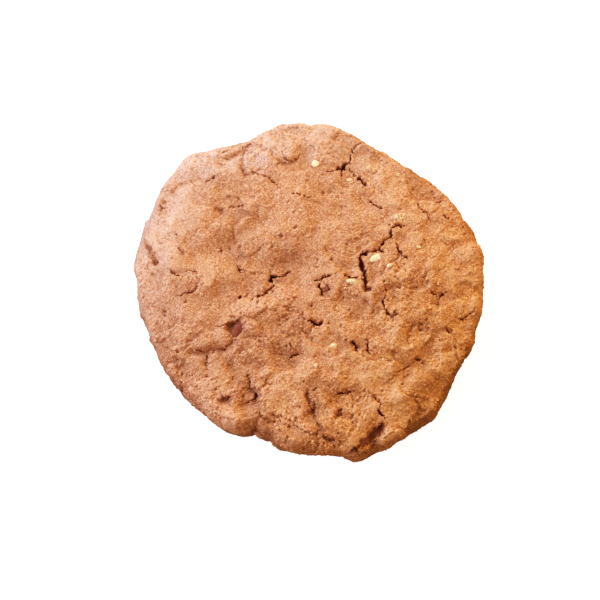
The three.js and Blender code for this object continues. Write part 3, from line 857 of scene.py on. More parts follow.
def side_relief(points, wander):
    """Depth of what only the side has: fissures along the zero lines of a smooth noise, in patches, and
    dents where another noise is high."""
    z = points[:, 2]
    line = np.abs(soft_noise(points + FISSURE_WANDER * wander, *FISSURE_WAVE))
    fissures = 1 - smooth_step(line, *FISSURE_EDGE)
    fissures *= smooth_step(soft_noise(points, *FISSURE_PATCH), *FISSURE_PATCH_LIMITS)
    fissures *= 1 - smooth_step(z, *FISSURE_FADE)
    dents = smooth_step(soft_noise(points + DENT_WANDER * wander, *DENT_WAVE), *DENT_LIMITS)
    dents *= 1 - smooth_step(z, *DENT_FADE)
    return FISSURE_DEPTH * fissures + DENT_DEPTH * dents


def crumb_relief(points, ragged, broken, grains, fine_grains):
    """Relief of the crumb: plates and lumps at uneven levels, with creases between the plates, whose edges
    follow the grains of a foam. Each grain is a dome at a level of its own, and some are missing."""
    near, second, draw, _ = grains
    fine_near, _, fine_draw, _ = fine_grains
    wander = noise_sum(points, WANDER, soft_shift)
    plate = ragged + wander
    relief = PLATES.height(broken) * blocks(plate, PLATES.size, PLATES.seed, PLATE_SHARPNESS)
    plate_near, plate_second, _, _ = foam(plate, PLATES.size, PLATES.seed)
    creases = smooth_step(soft_noise(points, CREASES.size, CREASES.seed), *CREASE_PATCHES)
    creases *= 1 - smooth_step(plate_second - plate_near, *CREASE_EDGE)
    relief -= CREASES.height(broken) * creases
    lump = ragged + LUMP_WANDER * wander
    relief += LUMPS.height(broken) * blocks(lump, LUMPS.size, LUMPS.seed, LUMP_SHARPNESS)
    undulation = UNDULATION_LEAST + (1 - UNDULATION_LEAST) * broken
    relief += undulation * noise_sum(points, UNDULATION)
    inner = smooth_step(second - near, 0, GRAIN_EDGE)
    relief += GRAINS.height(broken) * (GRAIN_DOME - near + GRAIN_STEP * inner * (draw - 0.5))
    relief += FINE_GRAINS.height(broken) * (FINE_GRAIN_DOME - fine_near + fine_draw - 0.5)
    cluster = smooth_step(soft_noise(points, *PORE_CLUSTER), *PORE_CLUSTER_LIMITS)
    chance = PORE_CHANCE + PORE_CLUSTER_CHANCE * cluster * (PORE_CALM + (1 - PORE_CALM) * broken)
    relief -= PORE_DEPTH * (draw < chance) * inner
    return relief - side_relief(points, wander)


def pit_relief(points, ragged, draw):
    """Depth of the pits and grooves, how far cocoa stains the crumb there, in the crevices partly as painted
    shade, and the painted shade at the bottom of an empty pit. A pit is an oval made uneven by noise and
    angular by blocks, with a steep wall, and a groove is a bell across its route."""
    flat = ragged[:, :2].T
    uneven = noise_sum(points, PIT_EDGE) + PIT_ANGLES * blocks(ragged, *PIT_BLOCKS)
    pit = np.zeros(len(points))
    stain_and_shade = np.zeros(len(points))
    pit_shade = np.zeros(len(points))
    for middle, size, turn, depth, filled in PITS:
        offset = oval_offset(middle, size, turn, *flat) + uneven
        pit = np.maximum(pit, depth * (1 - smooth_step(offset, *PIT_WALL)))
        stain_and_shade = np.maximum(stain_and_shade, 1 - smooth_step(offset, *PIT_STAIN))
        if not filled:
            depth_shade = min(1, PIT_SHADE_PER_MM * depth)
            pit_shade = np.maximum(pit_shade, depth_shade * (1 - smooth_step(offset, *PIT_BOTTOM)))
    for width, depth, share, route in GROOVES:
        distance, _, _, _ = nearest_on_route(route, *flat)
        groove = np.exp(-(2 * distance / width) ** 2) * (GROOVE_LEAST + GROOVE_DRAWN * draw)
        pit = np.maximum(pit, depth * groove)
        stain_and_shade = np.maximum(stain_and_shade, share * groove)
    return pit, stain_and_shade, pit_shade


def painted_sheen_mask(points, draws, stain_and_shade):
    """Share of painted sheen on the crumb: a pale highlight painted in specks. It is most at the middle of
    its shoulder and fades along the rim with a power of a cosine, inwards and down the side, and stains clear
    it."""
    x, y, z = points.T
    around = np.arctan2(y, x)
    inward = outline_reach(around) - np.hypot(x, y)
    painted_sheen = np.maximum(np.cos(around - math.radians(SHEEN_TURN)), 0) ** SHEEN_POWER
    painted_sheen *= (1 - smooth_step(inward, *SHEEN_WIDTH)) * smooth_step(z, *SHEEN_HEIGHT)
    specks = smooth_step(draws + noise_sum(points, SHEEN_SPECKS), *SPECK_LIMITS)
    return painted_sheen * (SHEEN_LEAST + SHEEN_SPECKLED * specks) * (1 - np.minimum(1, STAIN_CLEARS * stain_and_shade))


def crust_relief(points):
    """All relief along the outward direction, with the masks that the crumb's colours use. Crags, swells
    and lobes make the broad form, the crumb stands on it, and pits and cracks go down from there."""
    x, y, z = points.T
    broken = crumbliness(points)
    calm = CALM_LEAST + CALM_ADDED * smooth_step(z, *CALM_FADE)
    swells = sum(rise * np.exp(-oval_offset(middle, size, turn, x, y) ** 2)
                 for middle, size, turn, rise in SWELLS)
    lobes = sum(rise * np.exp(-(np.linalg.norm(points - middle, axis=1) / radius) ** 2)
                for middle, radius, rise in LOBES)
    grains = foam(points, GRAINS.size, GRAINS.seed)
    fine_grains = foam(points, FINE_GRAINS.size, FINE_GRAINS.seed)
    (_, _, draw, seat), (_, _, fine_draw, fine_seat) = grains, fine_grains
    ragged = points + RAGGED_PULL * (seat - points)
    crumb = calm * crumb_relief(points, ragged, broken, grains, fine_grains)
    pit, stain_and_shade, pit_shade = pit_relief(points, ragged, draw)
    depth, depth_shade = crack_relief(points + CRACK_FINE_PULL * (fine_seat - points) + CRACK_PULL * (seat - points))
    on_top = smooth_step(z, *TOP_FADE)
    rise = (crag_rise(points) * calm + swells + lobes + crumb) * smooth_step(z, *BASE_FADE)
    rise -= np.maximum(depth, pit) * on_top
    masks = {
        # Dark crumb of the cracks with painted shade that grows with depth, and painted shade at the bottom
        # of empty pits
        "crack_shade": np.maximum(depth_shade, pit_shade) * on_top,
        # Height of the crumb: the low crumb gets painted shade, the raised crumb is paler
        "level": np.clip(0.5 + crumb / LEVEL_RANGE, 0, 1),
        # Cocoa stain at the pits and grooves, partly painted shade in the crevices
        "stain_and_shade": stain_and_shade,
        # Painted shade in the broad hollows, the deeper the darker
        "hollow_shade": np.clip(-swells / HOLLOW_SHADE_DEPTH, 0, 1),
        # Painted sheen in pale specks on one shoulder
        "painted_sheen": painted_sheen_mask(points, fine_draw + SPECK_GRAINS * draw, stain_and_shade),
    }
    return rise, masks


def crust_surface(sizes, turn, way):
    """Finished crust as a function of the turn and the way: the smooth body moved out by the relief."""
    smooth = body_surface(sizes, turn, way)
    rise, masks = crust_relief(smooth)
    return smooth + rise[:, None] * body_outward(sizes, turn, way), masks


# Meshes

def ring_facets(rings):
    """Even facets on the unit disc, each ring with six points more than the ring inside it. Gives each
    point's turn and ring and the triangles, counter-clockwise seen from above."""
    order = np.arange(1, rings + 1)
    ring = np.repeat(order, 6 * order)
    first = 1 + 3 * order * (order - 1)
    step = np.arange(len(ring)) + 1 - first[ring - 1]
    turn = 2 * math.pi * step / (6 * ring)
    inner_first = np.where(ring > 1, 1 + 3 * (ring - 1) * (ring - 2), 0)
    inner_count = np.maximum(6 * (ring - 1), 1)
    sector, place = np.divmod(step, ring)
    here = first[ring - 1] + step
    onward = first[ring - 1] + (step + 1) % (6 * ring)
    near = inner_first + (sector * (ring - 1) + place) % inner_count
    near_onward = inner_first + (sector * (ring - 1) + place + 1) % inner_count
    outer = np.column_stack([near, here, onward])
    inner = np.column_stack([near, onward, near_onward])[place < ring - 1]
    return np.concatenate([[0], turn]), np.concatenate([[0], ring]), np.vstack([outer, inner])


def mesh_object(name, points, triangles, last_face=None):
    """Mesh object from an array of points in millimetres and an array of triangles, with one flat face of
    many corners after them where one is given."""
    corners = triangles.ravel()
    starts = np.arange(0, len(corners), 3)
    smooth = np.ones(len(starts), dtype=bool)
    if last_face is not None:
        starts = np.append(starts, len(corners))
        corners = np.concatenate([corners, last_face])
        smooth = np.append(smooth, False)
    mesh = bpy.data.meshes.new(name)
    mesh.vertices.add(len(points))
    mesh.vertices.foreach_set("co", (points * MM).astype(np.float32).ravel())
    mesh.loops.add(len(corners))
    mesh.loops.foreach_set("vertex_index", corners.astype(np.int32))
    mesh.polygons.add(len(starts))
    mesh.polygons.foreach_set("loop_start", starts.astype(np.int32))
    mesh.polygons.foreach_set("use_smooth", smooth)
    mesh.update(calc_edges=True)
    mesh.validate()
    made = bpy.data.objects.new(name, mesh)
    bpy.context.scene.collection.objects.link(made)
    return made


def add_mask(made, name, values):
    """Stores one number for each point of a mesh, for its material to read."""
    mask = made.data.attributes.new(name, "FLOAT", "POINT")
    mask.data.foreach_set("value", np.asarray(values, dtype=np.float32))


def crumb_ball():
    """Points and triangles of a ball of 12 points and 20 triangles: the corners of three golden rectangles
    set across each other, on the unit sphere."""
    long = (1 + math.sqrt(5)) / 2
    points = np.array([
        (-1, long, 0), (1, long, 0), (-1, -long, 0), (1, -long, 0), (0, -1, long), (0, 1, long),
        (0, -1, -long), (0, 1, -long), (long, 0, -1), (long, 0, 1), (-long, 0, -1), (-long, 0, 1)])
    triangles = np.array([
        (0, 11, 5), (0, 5, 1), (0, 1, 7), (0, 7, 10), (0, 10, 11), (1, 5, 9), (5, 11, 4),
        (11, 10, 2), (10, 7, 6), (7, 1, 8), (3, 9, 4), (3, 4, 2), (3, 2, 6), (3, 6, 8),
        (3, 8, 9), (4, 9, 5), (2, 4, 11), (6, 2, 10), (8, 6, 7), (9, 8, 1)])
    return points / math.hypot(1, long), triangles


def sugar_grain():
    """Points and triangles of a grain of 6 points and 8 triangles: the ends of three axes."""
    points = np.array([(1, 0, 0), (0, 1, 0), (-1, 0, 0), (0, -1, 0), (0, 0, 1), (0, 0, -1)], dtype=float)
    triangles = np.array([
        (0, 1, 4), (1, 2, 4), (2, 3, 4), (3, 0, 4), (1, 0, 5), (2, 1, 5), (3, 2, 5), (0, 3, 5)])
    return points, triangles


def fine_ball():
    """Ball of rings of facets: two ring discs bent into half balls share their outer ring."""
    turn, ring, upper = ring_facets(LUMP_RINGS)
    lean = ring / LUMP_RINGS * math.pi / 2
    half = np.column_stack([np.sin(lean) * np.cos(turn), np.sin(lean) * np.sin(turn), np.cos(lean)])
    inside = np.flatnonzero(ring < LUMP_RINGS)
    lower_index = np.where(ring < LUMP_RINGS, len(half) + np.arange(len(half)), np.arange(len(half)))
    points = np.vstack([half, half[inside] * (1, 1, -1)])
    return points, np.vstack([upper, lower_index[upper][:, ::-1]])


def turned_axes(outward, spin):
    """Three axes for each of many points: two across the outward one, turned by a spin, and that one."""
    side = np.cross(np.where(np.abs(outward[:, [1]]) < 0.7, (0, 1, 0), (1, 0, 0)), outward)
    side /= np.linalg.norm(side, axis=1, keepdims=True)
    other = np.cross(outward, side)
    along = np.cos(spin)[:, None] * side + np.sin(spin)[:, None] * other
    return np.stack([along, np.cross(outward, along), outward], axis=1)


def placed(balls, halves, axes, seats):
    """Balls stretched by half-sizes along three axes and moved to their seats, as one array of points."""
    return ((balls * halves[:, None]) @ axes + seats[:, None]).reshape(-1, 3)


def repeated(facets, point_count, times):
    """Triangles of a shape repeated in one mesh, each time with the next points."""
    shift = np.arange(times)[:, None, None] * point_count
    return (facets[None] + shift).reshape(-1, 3)


def set_in_crust(sizes, rows, filled, lump):
    """Rounded lumps set into the crust, one for each row of a table that starts with middle, size and turn:
    a ball stretched along three axes, with each point pushed in or out by noise. Gives the points and
    triangles of one mesh, and how far up its ball each point is."""
    middles, spans, turns = (np.array([row[field] for row in rows]) for field in range(3))
    turn, way = way_above(sizes, *middles.T)
    outward = body_outward(sizes, turn, way)
    seats = crust_surface(sizes, turn, way)[0] - lump.sunk * outward
    axes = turned_axes(outward, np.radians(turns))
    halves = np.column_stack([lump.share * spans * filled[:, None], np.full(len(rows), lump.half_height)])
    ball, facets = fine_ball()
    plain = placed(ball[None], halves, axes, seats)
    bulge = sum(height * soft_noise(plain, wavelength, lump.seed + order)
                for order, (height, wavelength) in enumerate(LUMP_NOISE))
    pushed = ball[None] * (1 + lump.lumpy * bulge).reshape(len(rows), len(ball), 1)
    points = placed(pushed, halves, axes, seats)
    return points, repeated(facets, len(ball), len(rows)), np.tile(ball[:, 2], len(rows))


# Scattered crumbs and grains

def seated(sizes, turn, way):
    """Points of the crust at these turns and ways, their outward directions and their masks."""
    seats, masks = crust_surface(sizes, turn, way)
    del masks["level"]
    return seats, body_outward(sizes, turn, way), masks


def crust_places(sizes, count, draw, liking):
    """Draws places on the crown and side: their points, outward directions and masks, and how broken the
    crust is there. The chance that a place is kept grows with a power of that."""
    least, added, power = liking
    tries = TRIES_PER_PLACE * count
    turn = draw.uniform(0, 2 * math.pi, tries)
    way = CROWN_SHARE * np.sqrt(draw.uniform(0, (LOWEST_SHARE / CROWN_SHARE) ** 2, tries))
    broken = crumbliness(body_surface(sizes, turn, way))
    kept = np.flatnonzero(draw.uniform(0, 1, tries) < least + added * broken**power)[:count]
    return seated(sizes, turn[kept], way[kept]), broken[kept]


def crack_places(sizes, draw):
    """Draws places along the cracks and beside them: their points, outward directions and masks."""
    places = []
    for _, _, route in CRACKS:
        route = np.array(route)
        lengths = np.linalg.norm(np.diff(route, axis=0), axis=1)
        count = max(1, round(CRACK_GRAINS_PER_MM * lengths.sum()))
        run = draw.choice(len(lengths), count, p=lengths / lengths.sum())
        along = draw.uniform(0, 1, count)[:, None]
        places.append(route[run] + along * (route[run + 1] - route[run]))
    places = np.vstack(places)
    places += draw.normal(0, CRACK_GRAIN_STRAY, places.shape)
    return seated(sizes, *way_above(sizes, *places.T))


def scatter(name, shape, place, radius, draw, material):
    """One small lump of crumb at each place on the crust, uneven in size and form and sunk a little."""
    (seats, outward, masks), (ball, facets) = place, shape
    halves = radius[:, None] * draw.uniform(SCATTER_LEAST, SCATTER_MOST, (len(seats), 3))
    axes = turned_axes(outward, draw.uniform(0, 2 * math.pi, len(seats)))
    pushed = ball[None] * draw.uniform(*SCATTER_PUSH, (len(seats), len(ball), 1))
    sunk = seats - SCATTER_SUNK * radius[:, None] * outward
    points = placed(pushed, halves, axes, sunk)
    made = mesh_object(name, points, repeated(facets, len(ball), len(seats)))
    masks["tone"] = draw.uniform(0, 1, len(seats))
    for label, values in masks.items():
        add_mask(made, label, np.repeat(values, len(ball)))
    finish_piece(made, material)


# Materials

def new_group(name, inputs, outputs):
    """Empty shader node group with named sockets, and its two end nodes."""
    group = bpy.data.node_groups.new(name, "ShaderNodeTree")
    for in_out, sockets in (("INPUT", inputs), ("OUTPUT", outputs)):
        for label, kind in sockets:
            group.interface.new_socket(label, in_out=in_out, socket_type=kind)
    return group, group.nodes.new("NodeGroupInput"), group.nodes.new("NodeGroupOutput")


def noise_node(tree, vector, wavelength, detail=2.0, roughness=0.5):
    """Noise texture whose features are about a wavelength in millimetres across."""
    node = tree.nodes.new("ShaderNodeTexNoise")
    node.inputs["Scale"].default_value = 1 / (wavelength * MM)
    node.inputs["Detail"].default_value = detail
    node.inputs["Roughness"].default_value = roughness
    tree.links.new(vector, node.inputs["Vector"])
    return node.outputs["Fac"]


def grain_cells(tree, vector, size):
    """Cells of sandy grain of a size in millimetres: distance from the middle of the grain, and two draws
    that belong to it."""
    node = tree.nodes.new("ShaderNodeTexVoronoi")
    node.inputs["Scale"].default_value = 1 / (size * MM)
    tree.links.new(vector, node.inputs["Vector"])
    split = tree.nodes.new("ShaderNodeSeparateColor")
    tree.links.new(node.outputs["Color"], split.inputs["Color"])
    return node.outputs["Distance"], split.outputs["Red"], split.outputs["Green"]


def axis_value(tree, vector, axis):
    """One axis of a vector."""
    node = tree.nodes.new("ShaderNodeSeparateXYZ")
    tree.links.new(vector, node.inputs["Vector"])
    return node.outputs[axis]


def spread(tree, value, low, high, to_low=0.0, to_high=1.0):
    """Map Range node that spreads a value between two limits over another range."""
    node = tree.nodes.new("ShaderNodeMapRange")
    for label, number in (("From Min", low), ("From Max", high), ("To Min", to_low), ("To Max", to_high)):
        node.inputs[label].default_value = number
    tree.links.new(value, node.inputs["Value"])
    return node.outputs["Result"]


def maths(tree, operation, first, second):
    """Math node; each side is a socket or a number."""
    node = tree.nodes.new("ShaderNodeMath")
    node.operation = operation
    for socket, value in zip(node.inputs, (first, second)):
        if isinstance(value, (int, float)):
            socket.default_value = value
        else:
            tree.links.new(value, socket)
    return node.outputs["Value"]


def mixed(tree, share, first, second, blend="MIX"):
    """Mix node for colours; the share is a socket, and each colour a socket or a colour."""
    node = tree.nodes.new("ShaderNodeMix")
    node.data_type = "RGBA"
    node.blend_type = blend
    for label, value in (("Factor_Float", share), ("A_Color", first), ("B_Color", second)):
        socket = next(s for s in node.inputs if s.identifier == label)
        if isinstance(value, bpy.types.NodeSocket):
            tree.links.new(value, socket)
        else:
            socket.default_value = (*value, 1.0)
    return next(s for s in node.outputs if s.identifier == "Result_Color")


def warm_light_side(tree, vector):
    """Share of painted warm light, a golden tint from 0 in the middle to 1 towards the front right rim."""
    rightward = maths(tree, "MULTIPLY", axis_value(tree, vector, "X"), WARM_LIGHT_HEADING[0])
    forward = maths(tree, "MULTIPLY", axis_value(tree, vector, "Y"), WARM_LIGHT_HEADING[1])
    low, high = WARM_LIGHT_FADE
    return spread(tree, maths(tree, "ADD", rightward, forward), low * MM, high * MM)


def crumb_grain_group():
    """Sandy grain of baked crumb, shared by crust, crumbs and chips: a colour mottled by rosy patches and
    by pale and dark grains, a height for bump, an uneven roughness and the grain's tone."""
    if "Crumb grain" in bpy.data.node_groups:
        return bpy.data.node_groups["Crumb grain"]
    group, start, end = new_group(
        "Crumb grain",
        (("Vector", "NodeSocketVector"), ("Crumb", "NodeSocketColor"), ("Pale", "NodeSocketColor"),
         ("Rosy", "NodeSocketColor")),
        (("Color", "NodeSocketColor"), ("Height", "NodeSocketFloat"), ("Roughness", "NodeSocketFloat"),
         ("Tone", "NodeSocketFloat")))
    vector, crumb, pale, rosy = (start.outputs[label] for label in ("Vector", "Crumb", "Pale", "Rosy"))
    patches = noise_node(group, vector, wavelength=7.0, detail=3.0)
    base = mixed(group, spread(group, patches, 0.42, 0.66, to_high=0.7), crumb, rosy)
    mottle = noise_node(group, vector, wavelength=1.5, detail=3.0, roughness=0.6)
    base = mixed(group, spread(group, mottle, 0.45, 0.75, to_high=0.48), base, pale)
    shade = noise_node(group, vector, wavelength=0.8, roughness=0.6)
    base = mixed(group, spread(group, shade, 0.47, 0.25, to_high=0.5), base, DARK_CRUMB)
    dome, tone, hue = grain_cells(group, vector, SHADER_GRAIN)
    base = mixed(group, spread(group, hue, 0.7, 0.75, to_high=0.55), base, rosy)
    base = mixed(group, spread(group, tone, 0.5, 1.0), base, PALE_GRAIN)
    base = mixed(group, spread(group, tone, 0.38, 0.0, to_high=0.82), base, DARK_GRAIN)
    # Painted warm light: golden towards the front right
    base = mixed(group, warm_light_side(group, vector), base, WARM_LIGHT_TINT, "MULTIPLY")
    fine = noise_node(group, vector, wavelength=0.22, detail=1.0)
    height = maths(group, "SUBTRACT", maths(group, "MULTIPLY", fine, 0.4), dome)
    roughness = spread(group, tone, 0.2, 0.9, to_low=0.65, to_high=0.45)
    for label, value in (("Color", base), ("Height", height), ("Roughness", roughness), ("Tone", tone)):
        group.links.new(value, end.inputs[label])
    return group


def new_material(name):
    """Material with a Principled shader, and the shader and Object coordinates in it."""
    material = bpy.data.materials.new(name)
    material.use_nodes = True
    tree = material.node_tree
    shader = next(node for node in tree.nodes if node.type == "BSDF_PRINCIPLED")
    coordinates = tree.nodes.new("ShaderNodeTexCoord")
    return material, tree, shader, coordinates.outputs["Object"]


def mask_value(tree, name):
    """Value of a mask stored on the mesh."""
    node = tree.nodes.new("ShaderNodeAttribute")
    node.attribute_name = name
    return node.outputs["Fac"]


def place_grain(tree, coordinates, colours):
    """The shared grain placed in a material with this cookie's crumb colours."""
    node = tree.nodes.new("ShaderNodeGroup")
    node.node_tree = crumb_grain_group()
    tree.links.new(coordinates, node.inputs["Vector"])
    tones = {"Crumb": colours.crumb, "Pale": colours.crumb_pale, "Rosy": colours.crumb_rosy}
    for label, colour in tones.items():
        node.inputs[label].default_value = (*colour, 1.0)
    return node


def add_bump(tree, shader, height, distance, strength):
    """Bump from a height into the shader's normal; the distance is in millimetres."""
    node = tree.nodes.new("ShaderNodeBump")
    node.inputs["Strength"].default_value = strength
    node.inputs["Distance"].default_value = distance * MM
    tree.links.new(height, node.inputs["Height"])
    tree.links.new(node.outputs["Normal"], shader.inputs["Normal"])


def browned_foot(tree, coordinates, colour, foot):
    """Browns a crumb colour from the upper part of the side down to the base."""
    high, low = BROWNED_FADE
    browned = spread(tree, axis_value(tree, coordinates, "Z"), high * MM, low * MM, to_high=0.85)
    return mixed(tree, browned, colour, foot)


def shade_crumb(tree, shader, grain, colour, colours):
    """Ends a crumb material. By the masks on the mesh, the colour gets painted shade in the broad hollows, a
    painted sheen of pale specks on one shoulder, a cocoa stain with some painted shade at the pits and
    grooves, and in the cracks their dark crumb with painted shade that deepens with their depth, and the
    grain sets the roughness."""
    # Painted shade in the broad hollows
    hollow_shade = maths(tree, "MULTIPLY", mask_value(tree, "hollow_shade"), 0.7)
    colour = mixed(tree, hollow_shade, colour, HOLLOW_SHADE_TINT, "MULTIPLY")
    # Painted sheen: pale specks of highlight on one shoulder
    speckle = spread(tree, grain.outputs["Tone"], 0.05, 0.6, to_low=0.3, to_high=0.85)
    sheen_share = maths(tree, "MULTIPLY", mask_value(tree, "painted_sheen"), speckle)
    colour = mixed(tree, sheen_share, colour, colours.painted_sheen)
    # Cocoa stain, partly painted shade in the grooves
    stain_and_shade = maths(tree, "MULTIPLY", mask_value(tree, "stain_and_shade"), 0.65)
    colour = mixed(tree, stain_and_shade, colour, COCOA_STAIN_AND_SHADE)
    # The cracks' dark crumb with painted shade, the deeper the darker
    crack_shade = spread(tree, mask_value(tree, "crack_shade"), 0.05, 0.8)
    colour = mixed(tree, crack_shade, colour, colours.crack_shade)
    tree.links.new(colour, shader.inputs["Base Color"])
    tree.links.new(grain.outputs["Roughness"], shader.inputs["Roughness"])
    shader.inputs["Specular IOR Level"].default_value = CRUMB_SPECULAR


def crust_material(colours):
    """Baked crust: sandy grain, browned towards the foot and base, with painted shade where the crumb is low,
    and pale where it is raised."""
    material, tree, shader, coordinates = new_material("baked_crust")
    grain = place_grain(tree, coordinates, colours)
    colour = browned_foot(tree, coordinates, grain.outputs["Color"], colours.foot)
    level = mask_value(tree, "level")
    # Painted shade on the low crumb
    colour = mixed(tree, spread(tree, level, 0.48, 0.1, to_high=0.6), colour, LOW_CRUMB_SHADE)
    colour = mixed(tree, spread(tree, level, 0.55, 0.9, to_high=0.5), colour, colours.crumb_pale)
    shade_crumb(tree, shader, grain, colour, colours)
    add_bump(tree, shader, grain.outputs["Height"], distance=0.10, strength=0.7)
    return material


def crumb_material(colours, name):
    """Loose crumbs: the crust's grain, some crumbs paler and some darker than the rest."""
    material, tree, shader, coordinates = new_material(name)
    grain = place_grain(tree, coordinates, colours)
    tone = mask_value(tree, "tone")
    pale = spread(tree, tone, 0.5, 1.0, to_high=0.5)
    colour = mixed(tree, pale, grain.outputs["Color"], colours.crumb_pale)
    colour = mixed(tree, spread(tree, tone, 0.4, 0.0, to_high=0.55), colour, DARK_LOOSE_CRUMB)
    colour = browned_foot(tree, coordinates, colour, colours.foot)
    shade_crumb(tree, shader, grain, colour, colours)
    return material


def chip_material(colours):
    """Pale chips: buttery with faint darker veins, and crumb over their edges, more on some than others."""
    material, tree, shader, coordinates = new_material("pale_chip")
    veins = spread(tree, noise_node(tree, coordinates, wavelength=0.6), 0.5, 0.8, to_high=0.5)
    colour = mixed(tree, veins, colours.chip, CHIP_VEIN)
    patches = noise_node(tree, coordinates, wavelength=0.45)
    patches = spread(tree, patches, 0.35, 0.65, to_low=-0.35, to_high=0.35)
    cover = maths(tree, "ADD", mask_value(tree, "edge"), mask_value(tree, "hidden"))
    cover = maths(tree, "ADD", cover, patches)
    grain = place_grain(tree, coordinates, colours)
    colour = mixed(tree, spread(tree, cover, 0.35, 0.85), colour, grain.outputs["Color"])
    tree.links.new(colour, shader.inputs["Base Color"])
    roughness = spread(tree, cover, 0.35, 0.85, to_low=0.4, to_high=0.6)
    tree.links.new(roughness, shader.inputs["Roughness"])
    add_bump(tree, shader, grain.outputs["Height"], distance=0.12, strength=0.6)
    return material


def chocolate_material(colours):
    """Melted and set chocolate: dark and reddish, nearly matte, with a cloudy bloom."""
    material, tree, shader, coordinates = new_material("set_chocolate")
    cloud = noise_node(tree, coordinates, wavelength=0.8, detail=3.0)
    bloom = spread(tree, cloud, 0.48, 0.75, to_high=0.55)
    colour = mixed(tree, bloom, colours.chocolate, CHOCOLATE_BLOOM)
    tree.links.new(colour, shader.inputs["Base Color"])
    roughness = spread(tree, bloom, 0.0, 0.55, to_low=0.7, to_high=0.9)
    tree.links.new(roughness, shader.inputs["Roughness"])
    ripple = noise_node(tree, coordinates, wavelength=0.35)
    add_bump(tree, shader, ripple, distance=0.15, strength=0.8)
    shader.inputs["Specular IOR Level"].default_value = CHOCOLATE_SPECULAR
    return material


# Stage

def set_film(view):
    """Response of the film: the light is raised to a power and bends over towards white, which it reaches
    at one: light^power (1 + knee) / (light^power + knee)."""
    view.view_transform = "Standard"
    view.look = "None"
    view.use_curve_mapping = True
    light = np.array(FILM_LIGHT)
    raised = light**FILM_POWER
    film = raised * (1 + FILM_KNEE) / (raised + FILM_KNEE)
    places = list(zip(light, film))
    curve = view.curve_mapping.curves[3]
    curve.points[0].location = places[0]
    curve.points[-1].location = places[-1]
    for place in places[1:-1]:
        curve.points.new(*place)
    view.curve_mapping.update()


def build_floor():
    """Pale floor: a flat disc just under the cookie whose rim curves up far behind the lamps, an arc turned
    about the Z axis."""
    climb = np.radians(np.linspace(0, FLOOR_CLIMB, FLOOR_STEPS))
    reach = np.append(FLOOR_MIDDLE, FLOOR_FLAT + FLOOR_CURVE * np.sin(climb))
    rise = np.append(0.0, FLOOR_CURVE * (1 - np.cos(climb))) - FLOOR_GAP
    turn = np.arange(FLOOR_SIDES) * math.tau / FLOOR_SIDES
    across = np.outer(reach, np.cos(turn)).ravel()
    along = np.outer(reach, np.sin(turn)).ravel()
    points = np.column_stack([across, along, np.repeat(rise, FLOOR_SIDES)])
    here = np.arange(FLOOR_SIDES * FLOOR_STEPS)
    onward = here - here % FLOOR_SIDES + (here + 1) % FLOOR_SIDES
    outer = np.column_stack([here, here + FLOOR_SIDES, onward + FLOOR_SIDES])
    inner = np.column_stack([here, onward + FLOOR_SIDES, onward])
    floor = mesh_object("pale_floor", points, np.vstack([outer, inner]), np.arange(FLOOR_SIDES))
    material, tree, shader, coordinates = new_material("pale_floor")
    cloud = spread(tree, noise_node(tree, coordinates, wavelength=40.0), 0.3, 0.7)
    tree.links.new(mixed(tree, cloud, *FLOOR_GREYS), shader.inputs["Base Color"])
    shader.inputs["Roughness"].default_value = 0.9
    shader.inputs["Emission Color"].default_value = (1.0, 1.0, 1.0, 1.0)
    shader.inputs["Emission Strength"].default_value = FLOOR_GLOW
    floor.data.materials.append(material)
    floor.visible_diffuse = False
    floor.visible_glossy = False
    floor.visible_shadow = False


def build_lights(scene):
    """A cool window at the back left, a warm lamp at the back, a fill on the left and a weak warm one on
    the right, and a soft surround that is dim and warm from below."""
    world = bpy.data.worlds.new("soft_surround")
    scene.world = world
    world.use_nodes = True
    tree = world.node_tree
    surround = next(node for node in tree.nodes if node.type == "BACKGROUND")
    direction = tree.nodes.new("ShaderNodeTexCoord")
    upward = axis_value(tree, direction.outputs["Generated"], "Z")
    colour = mixed(tree, spread(tree, upward, *SURROUND_FADE), SURROUND_BELOW, SURROUND_ABOVE)
    tree.links.new(colour, surround.inputs["Color"])
    surround.inputs["Strength"].default_value = SURROUND_STRENGTH
    for name, place, power, tint in LAMPS:
        lamp = bpy.data.lights.new(name, "AREA")
        lamp.size = LAMP_WIDTH
        lamp.energy = power
        lamp.color = tint
        made = bpy.data.objects.new(name, lamp)
        made.location = place
        made.rotation_euler = (-Vector(place)).to_track_quat("-Z", "Y").to_euler()
        scene.collection.objects.link(made)


def build_camera(scene):
    """Camera above the near side, looking down at the crust."""
    camera = bpy.data.cameras.new("camera")
    camera.lens = CAMERA_LENS
    camera.sensor_width = CAMERA_SENSOR
    camera.clip_start = CAMERA_NEAR * MM
    made = bpy.data.objects.new("camera", camera)
    elevation = math.radians(CAMERA_ELEVATION)
    back = Vector((0, -math.cos(elevation), math.sin(elevation)))
    made.location = (Vector(CAMERA_TARGET) + back * CAMERA_DISTANCE) * MM
    made.rotation_euler = (-back).to_track_quat("-Z", "Y").to_euler()
    scene.collection.objects.link(made)
    scene.camera = made


# Operators

def sizes_in_mm(context):
    """Sizes of the property group as plain numbers in millimetres."""
    sizes = context.scene.cookie_sizes
    names = ("crown_height", "crown_drop", "shoulder_width", "widest_height", "foot_tuck")
    return {name: getattr(sizes, name) / MM for name in names}


def finish_piece(made, material):
    """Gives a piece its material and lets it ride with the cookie's body."""
    made.data.materials.append(material)
    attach(made, "root")


